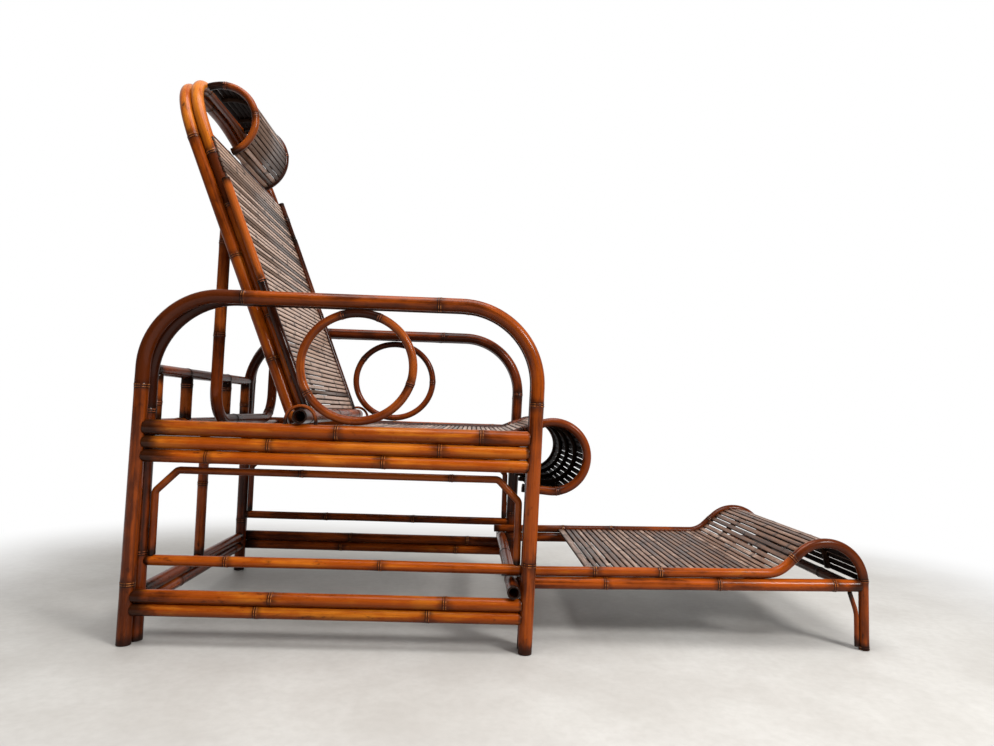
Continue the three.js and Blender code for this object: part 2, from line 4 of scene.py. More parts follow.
import bpy
from mathutils import Matrix, Vector, noise

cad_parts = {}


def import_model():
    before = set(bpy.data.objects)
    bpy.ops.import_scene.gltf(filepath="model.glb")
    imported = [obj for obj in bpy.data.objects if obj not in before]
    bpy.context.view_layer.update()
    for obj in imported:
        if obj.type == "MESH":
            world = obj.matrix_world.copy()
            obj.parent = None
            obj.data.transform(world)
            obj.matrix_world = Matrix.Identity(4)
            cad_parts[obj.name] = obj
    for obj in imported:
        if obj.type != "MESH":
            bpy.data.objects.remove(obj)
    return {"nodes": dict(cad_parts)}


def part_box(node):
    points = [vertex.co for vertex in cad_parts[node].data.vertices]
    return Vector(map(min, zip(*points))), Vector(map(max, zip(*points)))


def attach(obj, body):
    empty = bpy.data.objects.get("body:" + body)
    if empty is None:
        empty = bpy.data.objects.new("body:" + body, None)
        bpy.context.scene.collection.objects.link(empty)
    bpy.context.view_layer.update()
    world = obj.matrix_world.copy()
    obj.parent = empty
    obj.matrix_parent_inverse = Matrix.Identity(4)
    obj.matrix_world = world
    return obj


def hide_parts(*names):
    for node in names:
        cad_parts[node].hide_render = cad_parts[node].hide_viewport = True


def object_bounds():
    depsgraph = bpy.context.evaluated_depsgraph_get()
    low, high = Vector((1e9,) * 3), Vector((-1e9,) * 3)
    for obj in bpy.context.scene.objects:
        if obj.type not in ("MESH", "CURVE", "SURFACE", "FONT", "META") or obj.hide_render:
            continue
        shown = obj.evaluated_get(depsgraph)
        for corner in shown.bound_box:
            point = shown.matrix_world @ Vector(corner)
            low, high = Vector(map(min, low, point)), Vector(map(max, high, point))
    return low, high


# Varnished bamboo recliner: every faceted CAD pole and slat mat is replaced by a round, jointed,
# hand-finished one in the same place. Metres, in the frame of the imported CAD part.

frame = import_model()
CAD_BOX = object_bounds()

# Camera of the photograph: focal length and middle of the 994 x 746 picture in pixels, place and turn
PHOTO_WIDTH = 994
FOCAL_PIXELS = 700
SENSOR_WIDTH = 36
CAMERA_PLACE = Vector((-0.06992, -1.61694, 0.44122))
CAMERA_YAW, CAMERA_PITCH, CAMERA_ROLL = 0.0317, 0.05447, -0.03353
CAMERA_CLIP = (0.05, 60)

# Driving sizes of the bent lines, as in the CAD source. X counts from the rear foot of the side hoops.
REAR_FOOT_X = -0.684277
ARM_Z = 0.6368
FRONT_FOOT_X = 0.7235
REAR_LEAN, FRONT_LEAN = 0.0065, 0.0125
INNER_REAR_INSET = 0.008
REAR_BEND, INNER_REAR_BEND, FRONT_BEND = 0.137, 0.155, 0.147
BRACKET_SHOULDER_X, BRACKET_SHOULDER_Z, BRACKET_BEND = 0.040, 0.272, 0.012
STAPLE_RADIUS, STAPLE_RISE = 0.028, 0.005
JOURNAL_BORE, ROLLER_BORE, BORE_DEPTH = 0.010, 0.0088, 0.09
SEAT_LINE_Z, SEAT_START_X = 0.39555, 0.315
RAMP_DEG, RAMP_BEND = 22, 0.060
ROLL_X, ROLL_Z, ROLL_RADIUS, ROLL_END_DEG, ROLL_TAIL = 0.771, 0.357, 0.0666, -95, 0.053
SLAT_THICK, SLAT_SINK, LONG_SLAT = 0.005, 0.0005, 0.3
BATTEN_THICK, PANEL_BATTEN_THICK, BATTEN_INSET = 0.008, 0.005, 0.004
# How far the mats' tops lie below the tops of their edge poles or above their lines, how far before its
# line the seat mat stops, and how far slats reach behind a round pole or stop before one
SEAT_MAT_DROP, HEADREST_MAT_DROP, FOOTREST_MAT_RISE, PANEL_RISE = 0.005, 0.003, 0.0022, 0.0012
SEAT_MAT_STOP, SLAT_TUCK, SLAT_CLEARANCE = 0.014, 0.0003, 0.0002
# The slats over the seat's front roll lie close together: their gap, where this starts and how far it goes
TIGHT_GAP, TIGHT_FROM, TIGHT_LENGTH = 0.00025, 0.015, 0.125

HINGE = Vector((-0.387277, 0, 0.4198))
BACK_DEG = 22
ARCH_Y, ARCH_HEIGHT, ARCH_BEND = 0.235, 0.7725, 0.186
ARCH_RADIUS, REAR_ARCH_X, FRONT_ARCH_X = 0.0121, -0.0327, -0.0082
REAR_ARCH_FOOT, FRONT_ARCH_FOOT = -0.002, 0.0143
PANEL_X, PANEL_TOP = 0.004, 0.5865
LONG_EDGE_X, LONG_EDGE_TOP, LONG_EDGE_RADIUS = 0.0064, 0.598, 0.0075
LONG_EDGE_LAP, SIDE_POLE_LEAN = 0.004, 0.004
HEADREST_X, HEADREST_Z, HEADREST_RADIUS = 0.004, 0.6766, 0.0755
PROP_PIN_HEIGHT, PROP_DEG = 0.447, 22.3
PROP_Y, PROP_LENGTH, PROP_TOP, PROP_BEND = 0.195, 0.417, 0.020, 0.062

ROLLER = Vector((0.015117, 0, 0.1118))
FOOTREST_TILT_DEG = 0.9
FOOT_RAIL_Z, FOOT_OVERHANG, FOOT_LEG_X = 0.0223, 0.020, 0.6925
FOOT_ARCH_RADIUS, FOOT_ARCH_RISE, FOOT_SLOPE_DEG, FOOT_ARCH_BEND = 0.0755, 0.0598, 42, 0.060
FOOT_SLAT_START, FOOT_SLAT_END_DROP, FOOT_LEG_RADIUS = 0.148, 0.016, 0.0095
BRACE_REACH, BRACE_DROP, BRACE_BEND = 0.028, 0.040, 0.070
END_RAIL_X, END_RAIL_Z, END_RAIL_RADIUS = 0.669, -0.0015, 0.0105

SIDES = ("right", "left")
# DARK is a dark bamboo stain: the real colour of the prop pins, and painted shade on poles that lie in
# shade, on the far side and under the footrest.
AMBER, ORANGE, RUSSET, DARK = "amber_bamboo", "orange_bamboo", "russet_bamboo", "dark_bamboo"
SLATS = "bamboo_slats"
X_AXIS, Y_AXIS, Z_AXIS = Vector((1, 0, 0)), Vector((0, 1, 0)), Vector((0, 0, 1))
BACK = Matrix.Translation(HINGE) @ Matrix.Rotation(-math.radians(BACK_DEG), 4, "Y")
PROP = (
    BACK
    @ Matrix.Translation((REAR_ARCH_X, 0, PROP_PIN_HEIGHT))
    @ Matrix.Rotation(math.radians(PROP_DEG), 4, "Y")
)
FOOTREST = Matrix.Translation(ROLLER) @ Matrix.Rotation(-math.radians(FOOTREST_TILT_DEG), 4, "Y")
ROOT = Matrix.Identity(4)

# How bamboo is made up: stems a little thinner than the CAD poles, with joints that stand proud.
# CLOSE_UP is how much thicker a stem is that lies against its neighbour.
MILLIMETRE = 0.001
STEM_SHRINK = 0.15 * MILLIMETRE
KNOT_RISE = 0.95 * MILLIMETRE
CLOSE_UP = 0.6 * MILLIMETRE
# Height as a share of KNOT_RISE, and place and width in millimetres, of a joint's leaf scar, ridge and flare
SWELLS = ((0.5, -2.5, 0.9), (0.72, 1.6, 1.7), (0.28, 0, 12))
# Millimetres from a joint at which a stem has a ring
KNOT_STEPS = (
    -26, -15, -9, -6, -4.6, -3.8, -3.1, -2.5, -1.9, -1.3, -0.7, 0, 0.7, 1.5, 2.3, 3.2, 4.4, 6.2, 10, 16, 26,
)
# Half the gap between the two rings half-way between joints, where the nearest joint changes
HALF_WAY = 0.15 * MILLIMETRE
STEM_STEP, LEAST_STEP = 0.022, 0.2 * MILLIMETRE
BEND_STEP_DEG = 4
END_BEVEL = 0.0009
COPE_LIMIT = 0.004
FAR_AWAY = 1.0
# Joints that the photograph doesn't show: distance apart, and least distance from a stem's far end
INTERNODE, LAST_KNOT = 0.3, 0.03
SLAT_KNOT_MARGIN, SLAT_KNOT_RISE = 0.02, 0.5 * MILLIMETRE
# How much a stem's tone varies by itself, and how deep its dents are as a share of its radius
TONE_SPREAD, DENT_SHARE = 0.45, 0.01
# Where painted shade starts and where it is full: down the lower half of a stem, down a slat, and from a
# slat's middle to its side. The last is how dark that painted shade on a slat's side is.
STEM_SHADE, SLAT_SHADE, SLAT_SIDE_SHADE, SIDE_DARKNESS = (-0.2, 0.7), (0.15, 0.75), (0.6, 1.0), 0.8
# Painted shade of the battens, which lie in shade under the slats, and their tone
BATTEN_SHADE, BATTEN_TONE = 0.9, -0.5
# How far slats sink, turn and fall short at random, in millimetres, and the round of their edges
SLAT_SINKS, SLAT_TURN, SLAT_SHORT = (0.1, 0.6), 0.35, 0.5
SLAT_EDGE = 0.6 * MILLIMETRE
# How far the dark ends of the side rails reach, as multiples of the usual
TOP_RAIL_BURN, RAIL_BURN, MID_RAIL_BURN, FRONT_BURN = 3.0, 2.0, 0.5, 0.12
MID_RAIL_BOW = 1.6 * MILLIMETRE
# The left side's rails have their joints further forward, and are darker as painted shade for the side away
# from the light
LEFT_KNOT_SHIFT, LEFT_PAINTED_SHADE = 0.035, 0.75
RING_STEPS = 96


# Lines


def arc(centre, radius, start_deg, end_deg):
    steps = max(2, math.ceil(abs(end_deg - start_deg) / BEND_STEP_DEG))
    angles = [math.radians(start_deg + (end_deg - start_deg) * i / steps) for i in range(steps + 1)]
    return [(centre[0] + radius * math.cos(a), centre[1] + radius * math.sin(a)) for a in angles]


def bend(corners, radii):
    """A line through corners whose turns are round."""
    line = [tuple(corners[0])]
    for before, corner, after, radius in zip(corners, corners[1:], corners[2:], radii):
        corner = Vector(corner)
        back = (Vector(before) - corner).normalized()
        ahead = (Vector(after) - corner).normalized()
        half = back.angle(ahead) / 2
        centre = corner + (back + ahead).normalized() * radius / math.sin(half)
        start = corner + back * radius / math.tan(half) - centre
        end = corner + ahead * radius / math.tan(half) - centre
        start_deg = math.degrees(math.atan2(start.y, start.x))
        turn = math.degrees(math.atan2(start.x * end.y - start.y * end.x, start.dot(end)))
        line += arc(centre, radius, start_deg, start_deg + turn)
    return line + [tuple(corners[-1])]


def length_of(line):
    return sum(math.dist(a, b) for a, b in zip(line, line[1:]))


class Path:
    """A line in space, and the direction square to the plane that it lies in."""

    def __init__(self, points, across, closed=False):
        self.points = [Vector(p) for p in points]
        self.across = Vector(across).normalized()
        self.closed = closed
        if closed:
            self.points.append(self.points[0].copy())
        self.reach = [0.0]
        for a, b in zip(self.points, self.points[1:]):
            self.reach.append(self.reach[-1] + (b - a).length)
        self.length = self.reach[-1]
        self.near = 0

    def point(self, s):
        s = s % self.length if self.closed else min(max(s, 0.0), self.length)
        if s < self.reach[self.near]:
            self.near = 0
        while self.near < len(self.points) - 2 and s > self.reach[self.near + 1]:
            self.near += 1
        span = self.reach[self.near + 1] - self.reach[self.near]
        share = (s - self.reach[self.near]) / span
        return self.points[self.near].lerp(self.points[self.near + 1], share)

    def place(self, s):
        """The point at a distance, and the line's direction there."""
        step = 2 * MILLIMETRE
        return self.point(s), (self.point(s + step) - self.point(s - step)).normalized()


def in_side_plane(line, y):
    return Path([(x, y, z) for x, z in line], Y_AXIS)


def in_cross_plane(line, x):
    return Path([(x, y, z) for y, z in line], X_AXIS)


def corners_of(node, place=ROOT):
    """Lowest and highest corner of a CAD node in a frame of its own."""
    back = place.inverted()
    points = [back @ v.co for v in frame["nodes"][node].data.vertices]
    low = Vector([min(p[i] for p in points) for i in range(3)])
    high = Vector([max(p[i] for p in points) for i in range(3)])
    return low, high


def straight_line(node, axis, place=ROOT):
    """The middle line and radius of a straight CAD pole."""
    low, high = corners_of(node, place)
    middle, half = (low + high) / 2, (high - low) / 2
    along = Vector([half[i] if i == axis else 0 for i in range(3)])
    radius = max(half[i] for i in range(3) if i != axis)
    across = Z_AXIS if axis == 1 else Y_AXIS
    return Path([middle - along, middle + along], across), radius


# Meshes


def put(name, data):
    """A new object in the scene."""
    made = bpy.data.objects.new(name, data)
    bpy.context.scene.collection.objects.link(made)
    return made


class Shape:
    """Points and faces of one piece. grain is the place of a point in its straightened stem, and marks are
    its distance from the nearest joint, its distance from the nearest end, and how pale its stem is.
    shade is how much painted shade a point gets, darkening it as if shade fell there. Points that would lie
    outside the CAD part's box are moved onto its sides."""

    def __init__(self, place=ROOT):
        self.place = place
        self.points, self.faces, self.flat = [], [], []
        self.grain, self.marks, self.shade = [], [], []

    def add(self, point, grain, marks, shade=0.0):
        point = self.place @ point
        low, high = CAD_BOX
        self.points.append(Vector([min(max(point[i], low[i]), high[i]) for i in range(3)]))
        self.grain.append(grain)
        self.marks.append(marks)
        self.shade.append(shade)
        return len(self.points) - 1

    def face(self, corners, flat=False):
        self.faces.append(corners)
        self.flat.append(flat)

    def loft(self, rings, closed=False):
        pairs = list(zip(rings, rings[1:]))
        if closed:
            pairs.append((rings[-1], rings[0]))
        for low, high in pairs:
            for i in range(len(low)):
                j = (i + 1) % len(low)
                self.face((low[i], low[j], high[j], high[i]))

    def make(self, name, material):
        mesh = bpy.data.meshes.new(name)
        mesh.from_pydata([tuple(p) for p in self.points], [], self.faces)
        mesh.polygons.foreach_set("use_smooth", [not f for f in self.flat])
        for key, values in (("grain", self.grain), ("marks", self.marks)):
            attribute = mesh.attributes.new(key, "FLOAT_VECTOR", "POINT")
            attribute.data.foreach_set("vector", [c for v in values for c in v])
        mesh.attributes.new("shade", "FLOAT", "POINT").data.foreach_set("value", self.shade)
        mesh.materials.append(material)
        mesh.validate()
        mesh.update()
        return put(name, mesh)


def swell(distance):
    """How far a bamboo joint stands proud at a distance, as a share of KNOT_RISE."""
    mm = distance / MILLIMETRE
    return sum(height * math.exp(-(((mm - middle) / width) ** 2)) for height, middle, width in SWELLS)


def noise_shift(rng):
    """A place of its own in the noise for each piece."""
    return Vector((rng.uniform(0, 9), rng.uniform(0, 9), rng.uniform(0, 9)))


def share_of(value, limits):
    return (value - limits[0]) / (limits[1] - limits[0])


def nearest_knot(s, knots):
    return min((s - k for k in knots), key=abs, default=FAR_AWAY)


def stations(path, knots):
    """Where a stem has its rings: an even pitch, with more at each joint and each end."""
    count = max(4, math.ceil(path.length / STEM_STEP))
    found = {path.length * i / count for i in range(count + 1)}
    found.update(path.reach)
    for knot in knots:
        found.update(knot + step * MILLIMETRE for step in KNOT_STEPS)
    around = knots + [knots[0] + path.length] if path.closed and knots else knots
    for a, b in zip(around, around[1:]):
        found.update(((a + b) / 2 - HALF_WAY, (a + b) / 2 + HALF_WAY))
    if path.closed:
        ordered = sorted({round(s % path.length, 6) for s in found})
        kept = [s for a, s in zip([-FAR_AWAY] + ordered, ordered) if s - a > LEAST_STEP]
        return [s for s in kept if s < path.length - MILLIMETRE]
    inside = [s for s in found if 3 * END_BEVEL < s < path.length - 3 * END_BEVEL]
    found = sorted(inside + [2 * END_BEVEL, path.length - 2 * END_BEVEL])
    return [s for a, s in zip([0] + found, found) if s - a > LEAST_STEP]


class End:
    """How a stem ends: coped round a neighbour whose axis and radius are given, or bored. burn is how far
    its dark end reaches, as a multiple of the usual."""

    def __init__(self, axis=None, radius=0.0, bore=0.0, depth=0.012, burn=1.0):
        self.axis, self.radius, self.bore, self.depth, self.burn = axis, radius, bore, depth, burn


PLAIN_END = End()
PLAIN_ENDS = (PLAIN_END, PLAIN_END)


def cope(end, offset, along):
    """How far a point of an end reaches past it, to lie on the round neighbour that it meets."""
    if end.axis is None:
        return 0.0
    side = along.cross(end.axis).normalized()
    aside = min(abs(offset.dot(side)), end.radius)
    return min(end.radius - math.sqrt(end.radius**2 - aside**2), COPE_LIMIT)


def stem(shape, path, radius, knots=(), tones=None, ends=PLAIN_ENDS, sides=24, seed=0, bow=0.0, gain=0.0):
    """A round bamboo stem along a path. tones has one value for each stretch between joints, bow is how
    crooked the stem is, and gain is how much thicker."""
    rng = random.Random(seed)
    shift = noise_shift(rng)
    knots = sorted(knots)
    tones = tones or [rng.uniform(-TONE_SPREAD, TONE_SPREAD) for _ in range(len(knots) + 1)]
    thin = radius - STEM_SHRINK + gain

    def ring(s, inset=0.0, end=None, outward=None, at=None):
        point, along = path.place(s)
        up = along.cross(path.across).normalized()
        away = nearest_knot(s, knots)
        if path.closed and knots:
            away = min((s - k - turn * path.length for k in knots for turn in (-1, 0, 1)), key=abs)
        tone = tones[sum(s > k for k in knots) % len(tones)]
        tip = FAR_AWAY if path.closed else min(s / ends[0].burn, (path.length - s) / ends[1].burn)
        held = 0 if path.closed else math.sin(math.pi * min(max(s / path.length, 0), 1))
        point = point + up * (bow * held * noise.noise(Vector((s * 4, 0, 0)) + shift))
        made = []
        for i in range(sides):
            angle = 2 * math.pi * i / sides
            c, d = math.cos(angle), math.sin(angle)
            uneven = min(noise.noise(Vector((c * 1.5, d * 1.5, s * 7)) + shift) - 0.4, 0)
            r = thin + KNOT_RISE * swell(away) + uneven * DENT_SHARE * radius - inset if at is None else at
            offset = path.across * (c * r) + up * (d * r)
            place = point + offset
            if end is not None:
                place += outward * cope(end, offset, along)
            grain = Vector((c * radius, d * radius, s)) + shift
            # Painted shade: a stem darkens on its downward-facing side, and fully inside a bore, as if shade
            # fell there.
            down = -(shape.place.to_3x3() @ (path.across * c + up * d)).z
            shade = min(max(share_of(down, STEM_SHADE), 0), 1) if at is None else 1.0
            made.append(shape.add(place, grain, (away, tip, tone), shade))
        return made

    steps = stations(path, knots)
    rings = [ring(s) for s in steps]
    if path.closed:
        shape.loft(rings, closed=True)
        return
    for s0, way, end in ((0.0, -1, ends[0]), (path.length, 1, ends[1])):
        outward = path.place(s0)[1] * way
        lip = []
        for back, inset in ((END_BEVEL, 0.0), (END_BEVEL / 3, END_BEVEL / 3), (0, END_BEVEL)):
            lip.append(ring(s0 - way * back, inset, end, outward))
        if end.bore:
            lip.append(ring(s0, END_BEVEL, end, outward, end.bore + END_BEVEL / 2))
            lip.append(ring(s0 - way * END_BEVEL / 2, 0, end, outward, end.bore))
            lip.append(ring(s0 - way * end.depth, 0, None, None, end.bore))
        if way < 0:
            rings = lip[::-1] + rings
            shape.loft(lip[::-1] + [rings[len(lip)]])
            shape.face(tuple(lip[-1][::-1]), flat=True)
        else:
            shape.loft([rings[-1]] + lip)
            shape.face(tuple(lip[-1]), flat=True)
    shape.loft(rings[len(rings) - len(steps):])


def strip(shape, path, section, knots=(), rise=0.0, tone=0.0, seed=0, painted_shade=None):
    """A strip of one section along a path. The section is a list of (across, up) pairs. Its painted shade is
    the given value, or else painted shade darkens its sides and underside."""
    shift = noise_shift(random.Random(seed))
    deep, wide = max(-u for a, u in section), max(a for a, u in section)
    rings = []
    for s in stations(path, knots) if len(path.points) > 2 or knots else [0, path.length]:
        point, along = path.place(s)
        up = along.cross(path.across).normalized()
        away = nearest_knot(s, knots)
        tip = min(s, path.length - s)
        lift = rise * swell(away)
        made = []
        for a, u in section:
            place = point + path.across * a + up * (u + (lift if u > -deep / 2 else 0))
            # Painted shade: a slat darkens at its sides and underside, as if shade fell between and below
            # the slats.
            beside = max(share_of(abs(a) / wide, SLAT_SIDE_SHADE), 0)
            below = min(share_of(-u / deep, SLAT_SHADE), 1)
            shade = max(below, SIDE_DARKNESS * beside) if painted_shade is None else painted_shade
            made.append(shape.add(place, Vector((a, u, s)) + shift, (away, tip, tone), shade))
        rings.append(made)
    shape.loft(rings)
    shape.face(tuple(rings[0][::-1]), flat=True)
    shape.face(tuple(rings[-1]), flat=True)


# Slat mats


def crowned(width, thick, crown):
    """Section of a split cane: flat below, round above, with its top at zero."""
    half, low = width / 2, SLAT_EDGE
    shares = ((1, 0.5), (0.96, 0.26), (0.84, 0.12), (0.66, 0.06), (0.35, 0.015), (0, 0))
    right = [(-half * a, -thick * b * crown) for a, b in shares]
    left = [(-a, u) for a, u in right[-2::-1]]
    rear, front = [(low - half, -thick), (-half, low - thick)], [(half, low - thick), (half - low, -thick)]
    return (rear + right + left + front)[::-1]


def batten_section(width, thick):
    """Section of a batten: its top at zero, and round below."""
    half = width / 2
    right = [(half, 0), (half, -thick * 0.55), (half * 0.75, -thick * 0.9), (0, -thick)]
    return [(-a, u) for a, u in right] + right[-2::-1]


def point_along(line, distance):
    """The point at a distance along a line of pairs."""
    rest = distance
    for a, b in zip(line, line[1:]):
        span = math.dist(a, b)
        if rest <= span or b == line[-1]:
            share = rest / span
            return Vector((a[0] + (b[0] - a[0]) * share, a[1] + (b[1] - a[1]) * share))
        rest -= span


def moved_line(line, offset):
    """A line of pairs moved to its left."""
    made = []
    for i, (x, z) in enumerate(line):
        a, b = line[max(i - 1, 0)], line[min(i + 1, len(line) - 1)]
        span = math.dist(a, b)
        made.append((x - (b[1] - a[1]) / span * offset, z + (b[0] - a[0]) / span * offset))
    return made


def slat_mat(shape, line, half, top, mat, seed):
    """Split canes across their battens, each a little different from its neighbours."""
    rng = random.Random(seed)
    under = moved_line(line, top - SLAT_THICK + SLAT_SINK)
    held = [under[0], *[p for p in under[1:-1] if math.dist(p, under[0]) > BATTEN_INSET], under[-1]]
    held[0] = tuple(point_along(under, BATTEN_INSET))
    batten = batten_section(mat.batten_width, mat.batten_thick)
    for share in mat.battens:
        path = Path([(x, share * half, z) for x, z in held], Y_AXIS)
        # Battens get an even painted shade.
        strip(shape, path, batten, tone=BATTEN_TONE, seed=rng.random(), painted_shade=BATTEN_SHADE)
    end = mat.end or length_of(line)
    lead = mat.first - mat.width
    count = round((end - lead - mat.width) / mat.pitch) + 1
    spread = (end - lead - mat.width) / (count - 1)
    for i in range(count):
        full = mat.width if i else mat.first
        start = i * spread + (lead if i else 0)
        rear, front = point_along(line, start), point_along(line, start + full)
        middle, direction = (rear + front) / 2, (front - rear).normalized()
        centre = middle + Vector((-direction.y, direction.x)) * (top - rng.uniform(*SLAT_SINKS) * MILLIMETRE)
        skew = direction * rng.uniform(-SLAT_TURN, SLAT_TURN) * MILLIMETRE
        short = rng.uniform(0, SLAT_SHORT) * MILLIMETRE
        ends = [
            (centre.x + skew.x, half - short, centre.y + skew.y),
            (centre.x - skew.x, short - half, centre.y - skew.y),
        ]
        path = Path(ends, (direction.x, 0, direction.y))
        knots = []
        if rng.random() < mat.knot_share:
            knots.append(rng.uniform(0.08, 0.92) * path.length)
            if path.length > LONG_SLAT:
                knots.append((knots[0] + path.length * rng.uniform(0.4, 0.6)) % path.length)
        knots = [k for k in sorted(knots) if SLAT_KNOT_MARGIN < k < path.length - SLAT_KNOT_MARGIN]
        width = full * rng.uniform(1 - mat.uneven, 1)
        if mat.tight[0] < start < mat.tight[1]:
            width = spread - TIGHT_GAP
        section = crowned(width, SLAT_THICK - SLAT_SINK, rng.uniform(0.85, 1.15))
        strip(shape, path, section, knots, SLAT_KNOT_RISE, mat.tone + rng.uniform(-1, 1), rng.random())


class Mat:
    """Sizes of one slat mat, and where its battens run as shares of its half width. first is the width of
    the first slat, end is where the last one ends, and the slats lie close together in the tight part."""

    def __init__(
        self, width, pitch, batten_width, batten_thick, battens=(-0.5, 0.5), end=None,
        knot_share=0.8, uneven=0.07, tone=0.0, first=None, tight=(0, 0),
    ):
        self.width, self.pitch, self.end, self.knot_share = width, pitch, end, knot_share
        self.uneven, self.tone, self.first, self.tight = uneven, tone, first or width, tight
        self.batten_width, self.batten_thick, self.battens = batten_width, batten_thick, battens


# The mats' tones differ as painted light: paler on the upright back and headrest, darker on the footrest,
# for how light falls on each.
SEAT_MAT = dict(
    width=0.0100, pitch=0.011, batten_width=0.018, batten_thick=BATTEN_THICK, battens=(-0.5, 0, 0.5),
    uneven=0.09, tone=0.5,
)
BACK_MAT = Mat(0.0092, 0.011, 0.014, PANEL_BATTEN_THICK, tone=1.8)
HEADREST_MAT = Mat(0.0105, 0.0106, 0.012, BATTEN_THICK, knot_share=0.3, uneven=0.03, tone=1.5)
FOOTREST_MAT = Mat(0.0112, 0.0138, 0.018, BATTEN_THICK, knot_share=1.0, tone=-0.3, first=0.016)


# Materials


class Graph:
    """The nodes of a material or world, with short calls for the kinds used here."""

    def __init__(self, owner):
        self.owner = owner
        owner.use_nodes = True
        self.nodes, self.links = owner.node_tree.nodes, owner.node_tree.links
        self.nodes.clear()

    def node(self, kind, inputs=None, **settings):
        made = self.nodes.new("ShaderNode" + kind)
        for key, value in settings.items():
            setattr(made, key, value)
        for key, value in (inputs or {}).items():
            self.feed(made.inputs[key], value)
        return made

    def feed(self, socket, value):
        if isinstance(value, bpy.types.NodeSocket):
            self.links.new(value, socket)
        else:
            socket.default_value = value

    def attribute(self, name, output="Vector"):
        return self.node("Attribute", attribute_name=name).outputs[output]

    def split(self, vector):
        return self.node("SeparateXYZ", {0: vector}).outputs

    def stretch(self, vector, scales):
        return self.node("VectorMath", {0: vector, 1: scales}, operation="MULTIPLY").outputs[0]

    def maths(self, operation, first, second=0.0):
        return self.node("Math", {0: first, 1: second}, operation=operation).outputs[0]

    def times(self, first, second):
        return self.maths("MULTIPLY", first, second)

    def total(self, *terms):
        """Sum of products of a share and a source."""
        made = 0.0
        for share, source in terms:
            made = self.maths("ADD", made, self.times(source, share))
        return made

    def noise(self, vector, scale, detail=3.0, roughness=0.55):
        inputs = {"Vector": vector, "Scale": scale, "Detail": detail, "Roughness": roughness}
        return self.node("TexNoise", inputs).outputs["Fac"]

    def fade(self, value, low, high, start=0.0, end=1.0):
        """start below low, end above high, smooth between them."""
        inputs = {"Value": value, "From Min": low, "From Max": high, "To Min": start, "To Max": end}
        return self.node("MapRange", inputs, interpolation_type="SMOOTHSTEP").outputs[0]

    def band(self, value, middle, half):
        """One near a value, fading to nothing at half away from it."""
        away = self.maths("ABSOLUTE", self.maths("SUBTRACT", value, middle))
        return self.fade(away, 0.0, half, 1.0, 0.0)

    def ramp(self, value, stops):
        made = self.node("ValToRGB", {0: value})
        made.color_ramp.interpolation = "EASE"
        elements = made.color_ramp.elements
        while len(elements) < len(stops):
            elements.new(0.5)
        for element, (place, colour) in zip(elements, stops):
            element.position = place
            element.color = (*colour, 1)
        return made.outputs["Color"]

    def mix(self, share, first, second):
        made = self.node("Mix", data_type="RGBA")
        self.feed(made.inputs[0], share)
        for socket, value in ((made.inputs[6], first), (made.inputs[7], second)):
            self.feed(socket, (*value, 1) if isinstance(value, tuple) else value)
        return made.outputs[2]

    def shader(self, kind, inputs):
        return self.node(kind, inputs).outputs[0]

    def finish(self, shader, kind="Material"):
        self.node("Output" + kind, {"Surface": shader})
        return self.owner


BUMP_DEPTH = 0.3 * MILLIMETRE


def bamboo(name, deep, middle, pale, scorch):
    """Varnished bamboo: fibres along the stem, cloudy stain, dark joints with pale rings, dark ends."""
    g = Graph(bpy.data.materials.new(name))
    grain = g.attribute("grain")
    knot, tip, tone = g.split(g.attribute("marks"))
    shade = g.attribute("shade", "Fac")
    fibre = g.noise(g.stretch(grain, (1, 1, 0.012)), 900, 4)
    streak = g.noise(g.stretch(grain, (1, 1, 0.03)), 190, 3)
    cloud = g.noise(g.stretch(grain, (1, 1, 0.35)), 38, 4, 0.6)
    slow = g.noise(g.stretch(grain, (0.4, 0.4, 1)), 9, 2)
    speck = g.noise(g.stretch(grain, (1, 1, 0.3)), 420, 2, 0.7)
    blotch = g.noise(g.stretch(grain, (1, 1, 0.45)), 75, 3, 0.65)

    level = g.total((0.14, tone), (0.36, cloud), (0.34, streak), (0.3, slow))
    colour = g.ramp(level, [(0.32, deep), (0.5, middle), (0.68, pale)])
    colour = g.mix(g.fade(fibre, 0.35, 0.7, 0.0, 0.3), colour, deep)
    # Painted shade: darker towards the deep colour where the shade attribute is high, on undersides and in
    # bores.
    colour = g.mix(g.times(shade, 0.7), colour, tuple(0.6 * c for c in deep))
    colour = g.mix(g.fade(speck, 0.66, 0.78, 0.0, 0.7), colour, scorch)
    colour = g.mix(g.fade(blotch, 0.6, 0.78, 0.0, 0.75), colour, scorch)

    reach = g.times(g.maths("ABSOLUTE", knot), g.fade(cloud, 0.3, 0.7, 0.6, 1.7))
    stain = g.times(g.fade(reach, 0.001, 0.022, 1.0, 0.0), g.fade(streak, 0.25, 0.75, 0.45, 1.0))
    colour = g.mix(g.times(stain, 0.92), colour, scorch)
    tips = g.fade(g.times(tip, g.fade(cloud, 0.3, 0.7, 0.6, 1.6)), 0.004, 0.026, 0.96, 0.0)
    colour = g.mix(tips, colour, scorch)
    groove = g.maths("MAXIMUM", g.band(knot, -0.0007, 0.0012), g.band(knot, -0.0044, 0.0014))
    colour = g.mix(g.times(groove, 0.95), colour, tuple(c * 0.2 for c in scorch))
    rings = g.maths("MAXIMUM", g.band(knot, -0.0024, 0.0011), g.band(knot, 0.0018, 0.0013))
    worn = g.times(rings, g.fade(streak, 0.42, 0.62, 0.0, 0.55))
    colour = g.mix(worn, colour, tuple(min(1.0, c * 1.2 + 0.06) for c in pale))

    height = g.total((0.5, fibre), (0.5, streak), (-1.5, groove))
    bump = g.shader("Bump", {"Strength": 0.22, "Distance": BUMP_DEPTH, "Height": height})
    rough = g.maths("ADD", g.fade(cloud, 0.3, 0.7, 0.24, 0.36), g.times(stain, 0.1))
    return g.finish(g.shader("BsdfPrincipled", {
        "Base Color": colour, "Roughness": rough, "Normal": bump,
        "Coat Weight": 0.17, "Coat Roughness": 0.12, "Specular IOR Level": 0.08,
    }))


